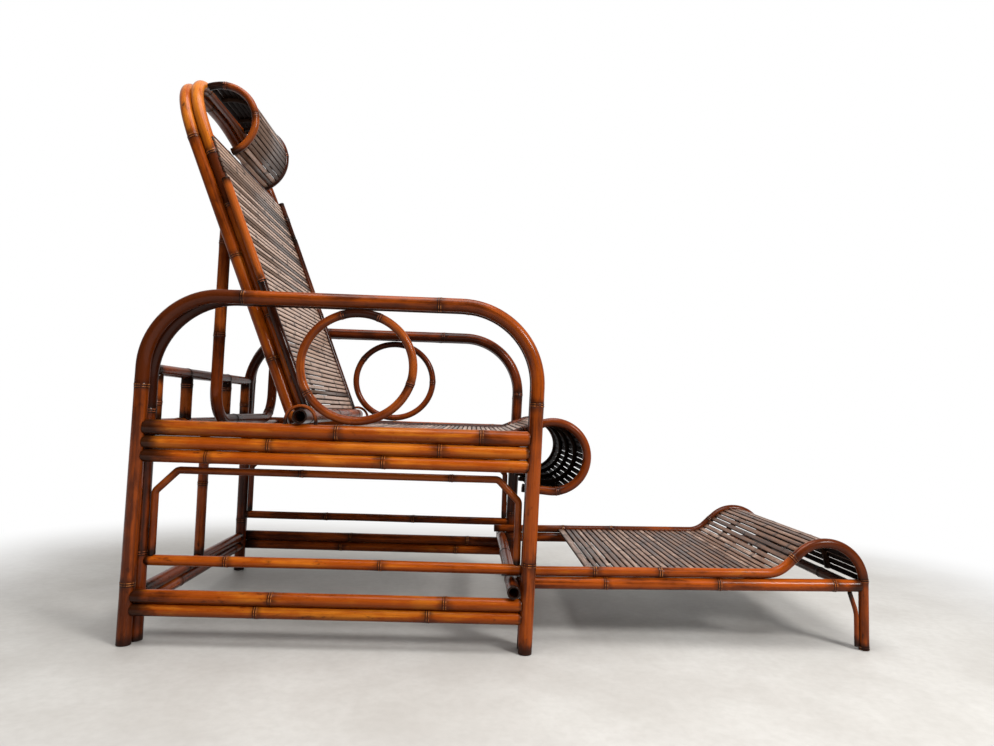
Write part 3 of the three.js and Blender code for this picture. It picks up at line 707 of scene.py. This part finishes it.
def split_cane(name, deep, middle, pale, scorch):
    """Slats of split bamboo: satin, greyed on top, each with a tone of its own, with painted shade between
    and below that also dulls their gloss.
    """
    g = Graph(bpy.data.materials.new(name))
    grain = g.attribute("grain")
    knot, tip, tone = g.split(g.attribute("marks"))
    shade = g.attribute("shade", "Fac")
    fibre = g.noise(g.stretch(grain, (1, 1, 0.015)), 1100, 4)
    streak = g.noise(g.stretch(grain, (1, 1, 0.05)), 260, 3)
    cloud = g.noise(g.stretch(grain, (1, 1, 0.4)), 45, 4, 0.6)

    level = g.total((0.12, tone), (0.52, cloud), (0.48, streak))
    colour = g.ramp(level, [(0.3, deep), (0.5, middle), (0.7, pale)])
    colour = g.mix(g.fade(fibre, 0.4, 0.7, 0.0, 0.35), colour, deep)
    away = g.maths("ABSOLUTE", knot)
    stain = g.times(g.fade(away, 0.001, 0.012, 1.0, 0.0), g.fade(streak, 0.3, 0.7, 0.3, 0.95))
    colour = g.mix(stain, colour, scorch)
    colour = g.mix(g.fade(tip, 0.001, 0.012, 0.7, 0.0), colour, scorch)
    rings = g.times(g.band(knot, -0.0024, 0.001), g.fade(streak, 0.4, 0.6, 0.0, 0.5))
    colour = g.mix(rings, colour, pale)
    # Painted shade: sides, undersides and battens darken, grow rougher and lose gloss where the shade
    # attribute is high.
    colour = g.mix(shade, colour, scorch)

    height = g.total((0.6, fibre), (0.4, streak))
    bump = g.shader("Bump", {"Strength": 0.4, "Distance": BUMP_DEPTH, "Height": height})
    rough = g.maths("ADD", g.fade(cloud, 0.3, 0.7, 0.26, 0.38), g.times(shade, 0.25))
    gloss = g.fade(shade, 0.0, 0.8, 0.27, 0.03)
    return g.finish(g.shader("BsdfPrincipled", {
        "Base Color": colour, "Roughness": rough, "Normal": bump, "Specular IOR Level": gloss,
    }))


# Stain colours of each slot: deep, middle, pale and scorched
STAINS = {
    AMBER: ((0.09, 0.016, 0.002), (0.37, 0.066, 0.003), (0.64, 0.19, 0.012), (0.02, 0.005, 0.002)),
    ORANGE: ((0.11, 0.019, 0.002), (0.46, 0.082, 0.003), (0.75, 0.2, 0.012), (0.022, 0.006, 0.002)),
    RUSSET: ((0.035, 0.007, 0.002), (0.2, 0.033, 0.003), (0.44, 0.095, 0.011), (0.01, 0.004, 0.002)),
    DARK: ((0.022, 0.005, 0.002), (0.078, 0.016, 0.004), (0.21, 0.048, 0.01), (0.008, 0.003, 0.001)),
}
SLAT_STAINS = ((0.06, 0.023, 0.011), (0.2, 0.094, 0.05), (0.52, 0.345, 0.255), (0.012, 0.005, 0.003))
MATERIALS = {name: bamboo(name, *stains) for name, stains in STAINS.items()}
MATERIALS[SLATS] = split_cane(SLATS, *SLAT_STAINS)


# Pieces


def keep(shape, name, body, slot, suffix="stem", instead=True):
    piece = shape.make(f"{name}_{suffix}", MATERIALS[slot])
    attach(piece, body)
    if instead:
        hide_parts(name)


def even_knots(length, seed):
    """Joints of a stem where the photograph shows none."""
    rng = random.Random(seed)
    start = rng.uniform(0.2, 0.7) * INTERNODE
    found = []
    while start < length - LAST_KNOT:
        found.append(start)
        start += INTERNODE * rng.uniform(0.85, 1.15)
    return found


SEEDS = iter(range(1, 1000))


def pole(node, body, slot, path, radius, knots=None, tones=None, ends=PLAIN_ENDS, place=ROOT, **more):
    """A stem that stands for a CAD pole. Its other values go to stem()."""
    seed = next(SEEDS)
    shape = Shape(place)
    if knots is None:
        knots = even_knots(path.length, seed)
    stem(shape, path, radius, knots, tones, ends, seed=seed, **more)
    keep(shape, node, body, slot)


def straight_pole(node, body, slot, axis, place=ROOT, **more):
    path, radius = straight_line(node, axis, place)
    pole(node, body, slot, path, radius, place=place, **more)


def across(low, high):
    """The middle and half of a piece's width."""
    return (low.y + high.y) / 2, (high.y - low.y) / 2


def round_radius(node, axis):
    low, high = corners_of(node)
    return (high[axis] - low[axis]) / 2


def leg_end(burn=1.0):
    return End(Z_AXIS, round_radius("right_outer_hoop", 1), burn=burn)


def hoop_path(y, rear, rear_top, rear_bend):
    top_x = FRONT_FOOT_X + FRONT_LEAN
    corners = [(rear, 0), (rear_top, ARM_Z), (top_x, ARM_Z), (FRONT_FOOT_X, 0)]
    line = [(x + REAR_FOOT_X, z) for x, z in bend(corners, [rear_bend, FRONT_BEND])]
    return in_side_plane(line, y)


def hoops(name):
    # The left hoops' darker tones are painted shade for the side away from the light.
    marks = {
        "right_outer": (
            (0.109, 0.467, 0.755, 1.118, 1.425, 1.72), (-0.8, -0.9, -1.7, -0.4, -0.6, -0.4, -0.3),
        ),
        "left_outer": ((0.15, 0.5, 0.81, 1.09, 1.4, 1.69), (-1.1, -1.3, -1.1, -1.2, -1.4, -1.5, -1.3)),
        "right_inner": ((0.16, 0.422, 0.8, 1.16, 1.47, 1.74), (-0.4, -0.8, -2.6, -1.6, -1.2, -0.6, -0.2)),
        "left_inner": ((0.13, 0.45, 0.77, 1.089, 1.38, 1.7), (-0.8, -0.8, -1.1, -0.5, -0.8, -0.8, -0.8)),
    }
    lines = {
        "outer": (AMBER, 0, REAR_LEAN, REAR_BEND),
        "inner": (RUSSET, INNER_REAR_INSET, INNER_REAR_INSET, INNER_REAR_BEND),
    }
    for kind, (slot, *line) in lines.items():
        node = f"{name}_{kind}_hoop"
        y, radius = across(*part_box(node))
        pole(node, "frame", slot, hoop_path(y, *line), radius, *marks[f"{name}_{kind}"])


def arm_ring(name):
    node = f"{name}_arm_ring"
    low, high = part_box(node)
    middle, half = (low + high) / 2, (high - low) / 2
    cane = half.y
    points = []
    for i in range(RING_STEPS):
        angle = 2 * math.pi * i / RING_STEPS - math.pi / 2
        x = middle.x + (half.x - cane) * math.cos(angle)
        points.append((x, middle.y, middle.z + (half.z - cane) * math.sin(angle)))
    ring = Path(points, Y_AXIS, closed=True)
    knots = {"right": (0.132, 0.283, 0.353, 0.538), "left": (0.16, 0.42)}[name]
    # The left ring's darker tones are painted shade for the side away from the light.
    tones = {"right": (0.3, 0.9, -1.8, 0.3), "left": (-0.4, -0.8)}[name]
    pole(node, "frame", RUSSET, ring, cane, knots, tones, sides=20)


def side_rails(name):
    marks = {
        "seat_rail_top": (AMBER, (0.347, 0.614), (0.1, 0.25, -0.5)),
        "seat_rail_middle": (ORANGE, (0.225, 0.538), (0.5, 0.45, 0.6)),
        "seat_rail_bottom": (ORANGE, (0.115, 0.435), (0.45, 0.55, 0.5)),
        "floor_rail_upper": (AMBER, (0.245, 0.56), (0.1, 0.1, -0.3)),
        "floor_rail_lower": (AMBER, (0.22, 0.53), (0.5, 0.6, 0.4)),
    }
    front_end = leg_end(FRONT_BURN)
    for kind, (slot, knots, tones) in marks.items():
        if name == "left":
            knots = tuple(k + LEFT_KNOT_SHIFT for k in knots)
            tones = tuple(t - LEFT_PAINTED_SHADE for t in tones)
        burn = TOP_RAIL_BURN if kind == "seat_rail_top" else RAIL_BURN
        gain = CLOSE_UP if kind in ("seat_rail_middle", "floor_rail_lower") else 0
        ends = (leg_end(burn), front_end)
        straight_pole(f"{name}_{kind}", "frame", slot, 0, knots=knots, tones=tones, ends=ends, gain=gain)
    knots = {"right": (0.145, 0.429), "left": (0.21, 0.441)}[name]
    # The left mid rail's darker tones are painted shade for the side away from the light.
    tones = {"right": (0.1, 0.2, 0.0), "left": (-0.8, -0.6, -1.0)}[name]
    straight_pole(
        f"{name}_mid_rail", "frame", ORANGE, 0,
        knots=knots, tones=tones, ends=(leg_end(MID_RAIL_BURN), front_end), sides=20, bow=MID_RAIL_BOW,
    )


def bracket(name):
    node = f"{name}_bracket"
    low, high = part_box(node)
    y, radius = across(low, high)
    rear, front, top = low.x + radius, high.x - radius, high.z - radius
    corners = [
        (rear, low.z), (rear, BRACKET_SHOULDER_Z), (rear + BRACKET_SHOULDER_X, top),
        (front - BRACKET_SHOULDER_X, top), (front, BRACKET_SHOULDER_Z), (front, low.z),
    ]
    path = in_side_plane(bend(corners, [BRACKET_BEND] * 4), y)
    end = End(X_AXIS, round_radius(f"{name}_mid_rail", 1))
    knots = (0.4, 0.68) if name == "right" else (0.33, 0.62)
    # The left bracket's darker tones are painted shade for the side away from the light.
    tones = (0.4, 1.4, 0.9) if name == "right" else (-0.4, -0.2, -0.4)
    pole(node, "frame", RUSSET, path, radius, knots, tones, (end, end), sides=18)


def staple(name):
    node = f"{name}_journal_staple"
    low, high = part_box(node)
    y, radius = across(low, high)
    middle_x, foot = (low.x + high.x) / 2, low.z
    bow = arc((middle_x, foot + STAPLE_RISE), STAPLE_RADIUS, 180, 0)
    line = [(middle_x - STAPLE_RADIUS, foot), *bow, (middle_x + STAPLE_RADIUS, foot)]
    pole(node, "frame", RUSSET, in_side_plane(line, y), radius, (), (0.3,), sides=14)


def rear_pieces():
    leg = leg_end()
    for node in ("rear_floor_rail_upper", "rear_floor_rail_lower", "rear_seat_rail", "gallery_rail"):
        knots = (0.15, 0.39) if node == "gallery_rail" else None
        straight_pole(node, "frame", RUSSET, 1, knots=knots, ends=(leg, leg))
    rail = End(Y_AXIS, round_radius("rear_seat_rail", 0))
    floor_rail = End(Y_AXIS, round_radius("rear_floor_rail_upper", 0))
    straight_pole("rear_centre_post", "frame", AMBER, 2, ends=(floor_rail, rail))
    for name in SIDES:
        for place in ("outer", "inner"):
            knots = (0.068,) if place == "inner" else (0.03,)
            node = f"{name}_gallery_post_{place}"
            straight_pole(node, "frame", RUSSET, 2, knots=knots, tones=(1.0, 0.8), ends=(rail, rail))


def seat_line():
    ramp = math.radians(RAMP_DEG)
    touch = (ROLL_X - ROLL_RADIUS * math.sin(ramp), ROLL_Z + ROLL_RADIUS * math.cos(ramp))
    foot_x = touch[0] - (touch[1] - SEAT_LINE_Z) / math.tan(ramp)
    level = bend([(SEAT_START_X, SEAT_LINE_Z), (foot_x, SEAT_LINE_Z), touch], [RAMP_BEND])
    roll = arc((ROLL_X, ROLL_Z), ROLL_RADIUS, 90 + RAMP_DEG, ROLL_END_DEG)
    end = math.radians(ROLL_END_DEG)
    tail = (roll[-1][0] + ROLL_TAIL * math.sin(end), roll[-1][1] - ROLL_TAIL * math.cos(end))
    return [(x + REAR_FOOT_X, z) for x, z in level[:-1] + roll + [tail]]


def seat():
    line = seat_line()
    for name in SIDES:
        node = f"{name}_seat_edge_pole"
        y, radius = across(*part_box(node))
        ends = (PLAIN_END, End(bore=0.0035))
        knots = (0.17, 0.4, 0.66)
        # The left edge pole's darker tones are painted shade for the side away from the light.
        tones = (-0.5, -0.6, -0.1, 0.3) if name == "right" else (-2, -2, -1, -0.5)
        pole(node, "frame", RUSSET, in_side_plane(line, y), radius, knots, tones, ends, sides=20)
    rail = End(X_AXIS, round_radius("right_seat_rail_top", 1))
    for node in ("seat_cross_rail_rear", "seat_cross_rail_front", "prop_rest_rail"):
        straight_pole(node, "frame", RUSSET, 1, ends=(rail, rail))
    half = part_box("seat_slats")[1].y
    edge_radius = round_radius("right_seat_edge_pole", 1)
    shape = Shape()
    roll_start = length_of(line) - ROLL_TAIL - ROLL_RADIUS * math.radians(90 + RAMP_DEG - ROLL_END_DEG)
    tight = (roll_start - TIGHT_FROM, roll_start + TIGHT_LENGTH)
    mat = Mat(**SEAT_MAT, end=length_of(line) - SEAT_MAT_STOP, tight=tight)
    slat_mat(shape, line, half, edge_radius - SEAT_MAT_DROP, mat, "seat")
    keep(shape, "seat_slats", "frame", SLATS, "strips")


def arch_path(x, foot):
    corners = [(-ARCH_Y, foot), (-ARCH_Y, ARCH_HEIGHT), (ARCH_Y, ARCH_HEIGHT), (ARCH_Y, foot)]
    return in_cross_plane(bend(corners, [ARCH_BEND] * 2), x)


def back_frame():
    journal, radius = straight_line("back_journal", 1)
    ends = [End(bore=JOURNAL_BORE, depth=BORE_DEPTH)] * 2
    pole("back_journal", "back", RUSSET, journal, radius, (0.06, 0.33, 0.6), (0.2, 0, 0, 0.2), ends)
    hinge = End(Y_AXIS, radius)
    rear = arch_path(REAR_ARCH_X, REAR_ARCH_FOOT)
    front = arch_path(FRONT_ARCH_X, FRONT_ARCH_FOOT)
    hollows = [End(bore=0.006, depth=0.02)] * 2
    rear_knots = (0.133, 0.35, 0.602, 0.92, 1.16, 1.41, 1.62)
    front_knots = (0.2, 0.433, 0.544, 0.83, 1.07, 1.28, 1.5)
    rear_tones = (-0.1, 0, -0.3, 0.5, 0.1, -1.0, -1.6, -1.6)
    # The front arch's pale stretch over its top (0.8) is partly real tone and partly painted highlight.
    front_tones = (-0.1, -0.1, -2.6, 0.8, 0.1, -1.0, -1.8, -1.8)
    cane = ARCH_RADIUS
    pole("rear_arch", "back", AMBER, rear, cane, rear_knots, rear_tones, hollows, BACK, gain=CLOSE_UP)
    pole("front_arch", "back", AMBER, front, cane, front_knots, front_tones, (hinge, hinge), BACK)
    for name in SIDES:
        node = f"{name}_back_side_pole"
        ends = (hinge, End(bore=0.003, depth=0.006))
        path, pole_radius = straight_line(node, 2, BACK)
        if name == "left":
            path = Path([path.points[0], path.points[-1] + X_AXIS * SIDE_POLE_LEAN], Y_AXIS)
        # The left side pole's DARK stain and low tones are painted shade for the side away from the light.
        slot, tones = (RUSSET, (-1.5, 1.7)) if name == "right" else (DARK, (-0.6, -0.2))
        pole(node, "back", slot, path, pole_radius, (0.264,), tones, ends, BACK, sides=20)
        straight_pole(f"{name}_prop_pin", "back", DARK, 1, BACK, knots=(), tones=(0,), sides=12)
    low, high = corners_of("left_back_side_pole", BACK)
    y = low.y + LONG_EDGE_RADIUS
    line = [(LONG_EDGE_X, y, z) for z in (high.z - LONG_EDGE_LAP, LONG_EDGE_TOP)]
    shape = Shape(BACK)
    stem(shape, Path(line, Y_AXIS), LONG_EDGE_RADIUS, (0.06,), (-0.4, -0.8), sides=16, seed="long edge")
    # Its DARK stain is painted shade for the far side.
    keep(shape, "left_back_long_edge", "back", DARK, instead=False)
    post = End(Z_AXIS, cane)
    for node in ("back_cross_rail_lower", "back_cross_rail_upper"):
        straight_pole(node, "back", RUSSET, 1, BACK, ends=(post, post), sides=20)


def back_slats():
    shape = Shape(BACK)
    line = [(PANEL_X, PANEL_TOP), (PANEL_X, FRONT_ARCH_FOOT)]
    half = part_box("left_back_side_pole")[0].y + SLAT_TUCK
    slat_mat(shape, line, half, PANEL_RISE, BACK_MAT, "back")
    keep(shape, "back_slats", "back", SLATS, "strips")


def headrest():
    line = arc((HEADREST_X, HEADREST_Z), HEADREST_RADIUS, 90, -90)
    for name in SIDES:
        node = f"{name}_headrest_ring"
        low, high = corners_of(node, BACK)
        y, cane = across(low, high)
        # The left ring's darker tones are painted shade for the side away from the light.
        tones = (-2.4, 0.6, 0.8) if name == "right" else (-2, -1.2, -1)
        pole(node, "back", RUSSET, in_side_plane(line, y), cane, (0.036, 0.135), tones, place=BACK, sides=20)
    shape = Shape(BACK)
    slat_mat(shape, line, low.y + SLAT_TUCK, cane - HEADREST_MAT_DROP, HEADREST_MAT, "headrest")
    keep(shape, "headrest_slats", "back", SLATS, "strips")


def prop():
    corners = [(-PROP_Y, PROP_TOP), (-PROP_Y, -PROP_LENGTH), (PROP_Y, -PROP_LENGTH), (PROP_Y, PROP_TOP)]
    path = in_cross_plane(bend(corners, [PROP_BEND] * 2), 0)
    low, high = corners_of("back_prop", PROP)
    radius = (high.x - low.x) / 2
    ends = [End(bore=0.005)] * 2
    knots = (0.078, 0.266, 0.52, 0.78, 0.98, 1.14)
    tones = (1.4, 0.9, -0.5, -0.3, -0.4, 0.1, 0.3)
    pole("back_prop", "prop", RUSSET, path, radius, knots, tones, ends, PROP)


def footrest_line():
    slope = math.radians(FOOT_SLOPE_DEG)
    centre_z = FOOT_RAIL_Z + FOOT_ARCH_RISE - FOOT_ARCH_RADIUS
    peak = centre_z + FOOT_ARCH_RADIUS * math.tan((math.pi / 2 + slope) / 2)
    rise_x = FOOT_LEG_X - (peak - FOOT_RAIL_Z) / math.tan(slope)
    floor_z = -(ROLLER.z + FOOT_LEG_X * math.tan(math.radians(FOOTREST_TILT_DEG)))
    rail = [(-FOOT_OVERHANG, FOOT_RAIL_Z), (rise_x, FOOT_RAIL_Z)]
    leg = [(FOOT_LEG_X, peak), (FOOT_LEG_X, floor_z)]
    return bend(rail + leg, [FOOT_ARCH_BEND, FOOT_ARCH_RADIUS])


def footrest_frame():
    line = footrest_line()
    roller, radius = straight_line("footrest_roller", 1)
    ends = [End(bore=ROLLER_BORE, depth=BORE_DEPTH)] * 2
    knots, tones = (0.1, 0.35, 0.58), (-0.3, 0, 0, -0.3)
    pole("footrest_roller", "footrest", RUSSET, roller, radius, knots, tones, ends)
    wheel, leg = End(Y_AXIS, radius), End(Z_AXIS, FOOT_LEG_RADIUS)
    for name in SIDES:
        node = f"{name}_footrest_arch_rail"
        y, radius = across(*corners_of(node, FOOTREST))
        knots = (0.182, 0.31, 0.583, 0.77, 0.9)
        # The left rails' darker tones are painted shade for the side away from the light.
        tones, lower_tones = {
            "right": ((-0.2, -0.3, -0.2, -1.2, -0.5, -0.4), (-0.6, -0.5, -0.4, -0.7)),
            "left": ((-1.0, -1.1, -1.0, -1.2, -1.2, -1.0), (-1.0, -0.9, -1.0, -1.1)),
        }[name]
        shape = Shape(FOOTREST)
        path = in_side_plane(line, y)
        stem(shape, path, radius, knots, tones, (End(bore=0.004), PLAIN_END), seed=node)
        keep(shape, node, "footrest", AMBER)
        straight_pole(
            f"{name}_footrest_lower_rail", "footrest", ORANGE, 0, FOOTREST,
            knots=(0.17, 0.392, 0.62), tones=lower_tones, ends=(wheel, leg),
        )
    rail = End(X_AXIS, round_radius("right_footrest_lower_rail", 1))
    straight_pole("footrest_cross_rail", "footrest", DARK, 1, FOOTREST, ends=(rail, rail))
    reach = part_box("left_footrest_lower_rail")[0].y
    # The end rail takes the DARK stain as painted shade, since it lies in shade under the mat's tail.
    path = Path([(END_RAIL_X, y, END_RAIL_Z) for y in (-reach, reach)], Z_AXIS)
    knots, tones = (0.11, 0.35), (-0.3, -0.5, -0.2)
    shape = Shape(FOOTREST)
    stem(shape, path, END_RAIL_RADIUS, knots, tones, (rail, rail), sides=20, seed="end rail")
    keep(shape, "footrest_end_rail", "footrest", DARK, instead=False)


def footrest_slats():
    line = footrest_line()
    body = [(x, z) for x, z in line if x > FOOT_SLAT_START]
    last = next(i for i, (x, z) in enumerate(body) if i and body[i + 1][1] < FOOT_RAIL_Z)
    tail = (FOOT_LEG_X, FOOT_RAIL_Z - FOOT_SLAT_END_DROP)
    mat_line = [(FOOT_SLAT_START, FOOT_RAIL_Z), *body[: last + 1], tail]
    shape = Shape(FOOTREST)
    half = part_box("left_footrest_arch_rail")[0].y - SLAT_CLEARANCE
    slat_mat(shape, mat_line, half, FOOTREST_MAT_RISE, FOOTREST_MAT, "footrest")
    keep(shape, "footrest_slats", "footrest", SLATS, "strips")


def footrest_braces():
    for name in SIDES:
        node = f"{name}_footrest_brace"
        low, high = corners_of(node, FOOTREST)
        y, radius = across(low, high)
        x = high.x - radius
        corners = [(FOOT_LEG_X - BRACE_REACH, high.z), (x, high.z - BRACE_DROP), (x, low.z)]
        path = in_side_plane(bend(corners, [BRACE_BEND]), y)
        pole(node, "footrest", RUSSET, path, radius, (), (0.4,), place=FOOTREST, sides=14)


# Stage


def camera():
    yaw, pitch, roll = CAMERA_YAW, CAMERA_PITCH, CAMERA_ROLL
    ahead = Vector((math.sin(yaw) * math.cos(pitch), math.cos(yaw) * math.cos(pitch), math.sin(pitch)))
    level = Vector((math.cos(yaw), -math.sin(yaw), 0))
    upright = level.cross(ahead)
    right = level * math.cos(roll) - upright * math.sin(roll)
    up = level * math.sin(roll) + upright * math.cos(roll)
    data = bpy.data.cameras.new("photo_camera")
    data.sensor_width = SENSOR_WIDTH
    data.lens = FOCAL_PIXELS / PHOTO_WIDTH * SENSOR_WIDTH
    data.clip_start, data.clip_end = CAMERA_CLIP
    made = put("photo_camera", data)
    turn = Matrix((right, up, -ahead)).transposed().to_4x4()
    made.matrix_world = Matrix.Translation(CAMERA_PLACE) @ turn
    bpy.context.scene.camera = made


FLOOR_HALF, FLOOR_DROP = 14, 0.0006
# Where the floor starts to turn white and where it is white, in metres past the chair
FLOOR_NEAR, FLOOR_FAR = 0.25, 0.95
DOME_LOW, DOME_HIGH = 0.16, 0.6
WHITE = (1, 1, 1, 1)
# Name, place, target, size in metres and power in watts of each lamp
LAMPS = (
    ("top_light", (-0.1, -0.5, 2.7), (0.0, 0.0, 0.3), 1.8, 50),
    ("front_light", (1.7, -1.9, 1.9), (0.0, 0.0, 0.35), 0.8, 58),
)


def floor():
    """A large pale floor that turns white far from the chair."""
    g = Graph(bpy.data.materials.new("pale_floor"))
    place = g.node("NewGeometry").outputs["Position"]
    x, y = g.split(place)[:2]
    past = []
    for value, edge in ((x, CAD_BOX[1].x), (y, CAD_BOX[1].y)):
        out = g.maths("MAXIMUM", g.maths("SUBTRACT", g.maths("ABSOLUTE", value), edge), 0.0)
        past.append(g.times(out, out))
    away = g.maths("SQRT", g.maths("ADD", *past))
    cloud = g.noise(place, 3.5, 5, 0.65)
    fine = g.noise(place, 60, 3, 0.6)
    colour = g.mix(g.fade(cloud, 0.3, 0.7, 0, 1), (0.52, 0.495, 0.46), (0.62, 0.60, 0.565))
    colour = g.mix(g.fade(fine, 0.3, 0.75, 0.0, 0.25), colour, (0.42, 0.395, 0.36))
    near = g.shader("BsdfPrincipled", {"Base Color": colour, "Roughness": 0.55})
    white = g.shader("Emission", {"Color": WHITE, "Strength": 1.0})
    rays = g.node("LightPath").outputs
    seen = g.maths("MAXIMUM", rays["Is Camera Ray"], rays["Is Glossy Ray"])
    share = g.times(g.fade(away, FLOOR_NEAR, FLOOR_FAR), seen)
    mesh = bpy.data.meshes.new("floor")
    corners = [(x * FLOOR_HALF, y * FLOOR_HALF, 0) for x, y in ((-1, -1), (1, -1), (1, 1), (-1, 1))]
    mesh.from_pydata(corners, [], [(0, 1, 2, 3)])
    mesh.materials.append(g.finish(g.shader("MixShader", {0: share, 1: near, 2: white})))
    made = put("floor", mesh)
    made.location.z = -FLOOR_DROP


def world():
    """White behind the chair for the camera, dimmer where its gloss looks back into the room."""
    made = bpy.data.worlds.new("studio")
    bpy.context.scene.world = made
    g = Graph(made)
    y, z = g.split(g.node("TexCoord").outputs["Generated"])[1:]
    behind = g.fade(y, 0.0, 0.9, 0.05, 0.75)
    above = g.fade(z, 0.3, 1.0, 0.0, 0.22)
    dome = g.fade(z, -0.1, 1.0, DOME_LOW, DOME_HIGH)
    levels = (g.maths("MAXIMUM", behind, above), dome, WHITE)
    gloss, plain, seen = [g.shader("Background", {"Color": level, "Strength": 1.0}) for level in levels]
    rays = g.node("LightPath").outputs
    lit = g.shader("MixShader", {0: rays["Is Glossy Ray"], 1: plain, 2: gloss})
    for ray in ("Is Camera Ray", "Is Transmission Ray"):
        lit = g.shader("MixShader", {0: rays[ray], 1: lit, 2: seen})
    g.finish(lit, "World")


def lamps():
    for name, place, target, size, power in LAMPS:
        data = bpy.data.lights.new(name, "AREA")
        data.shape = "DISK"
        data.size = size
        data.energy = power
        made = put(name, data)
        made.location = place
        made.rotation_euler = (Vector(target) - Vector(place)).to_track_quat("-Z", "Y").to_euler()


camera()
floor()
world()
lamps()
bpy.context.scene.view_settings.view_transform = "Standard"

for name in SIDES:
    hoops(name)
    arm_ring(name)
    side_rails(name)
    bracket(name)
    staple(name)
rear_pieces()
seat()
back_frame()
back_slats()
headrest()
prop()
footrest_frame()
footrest_slats()
footrest_braces()
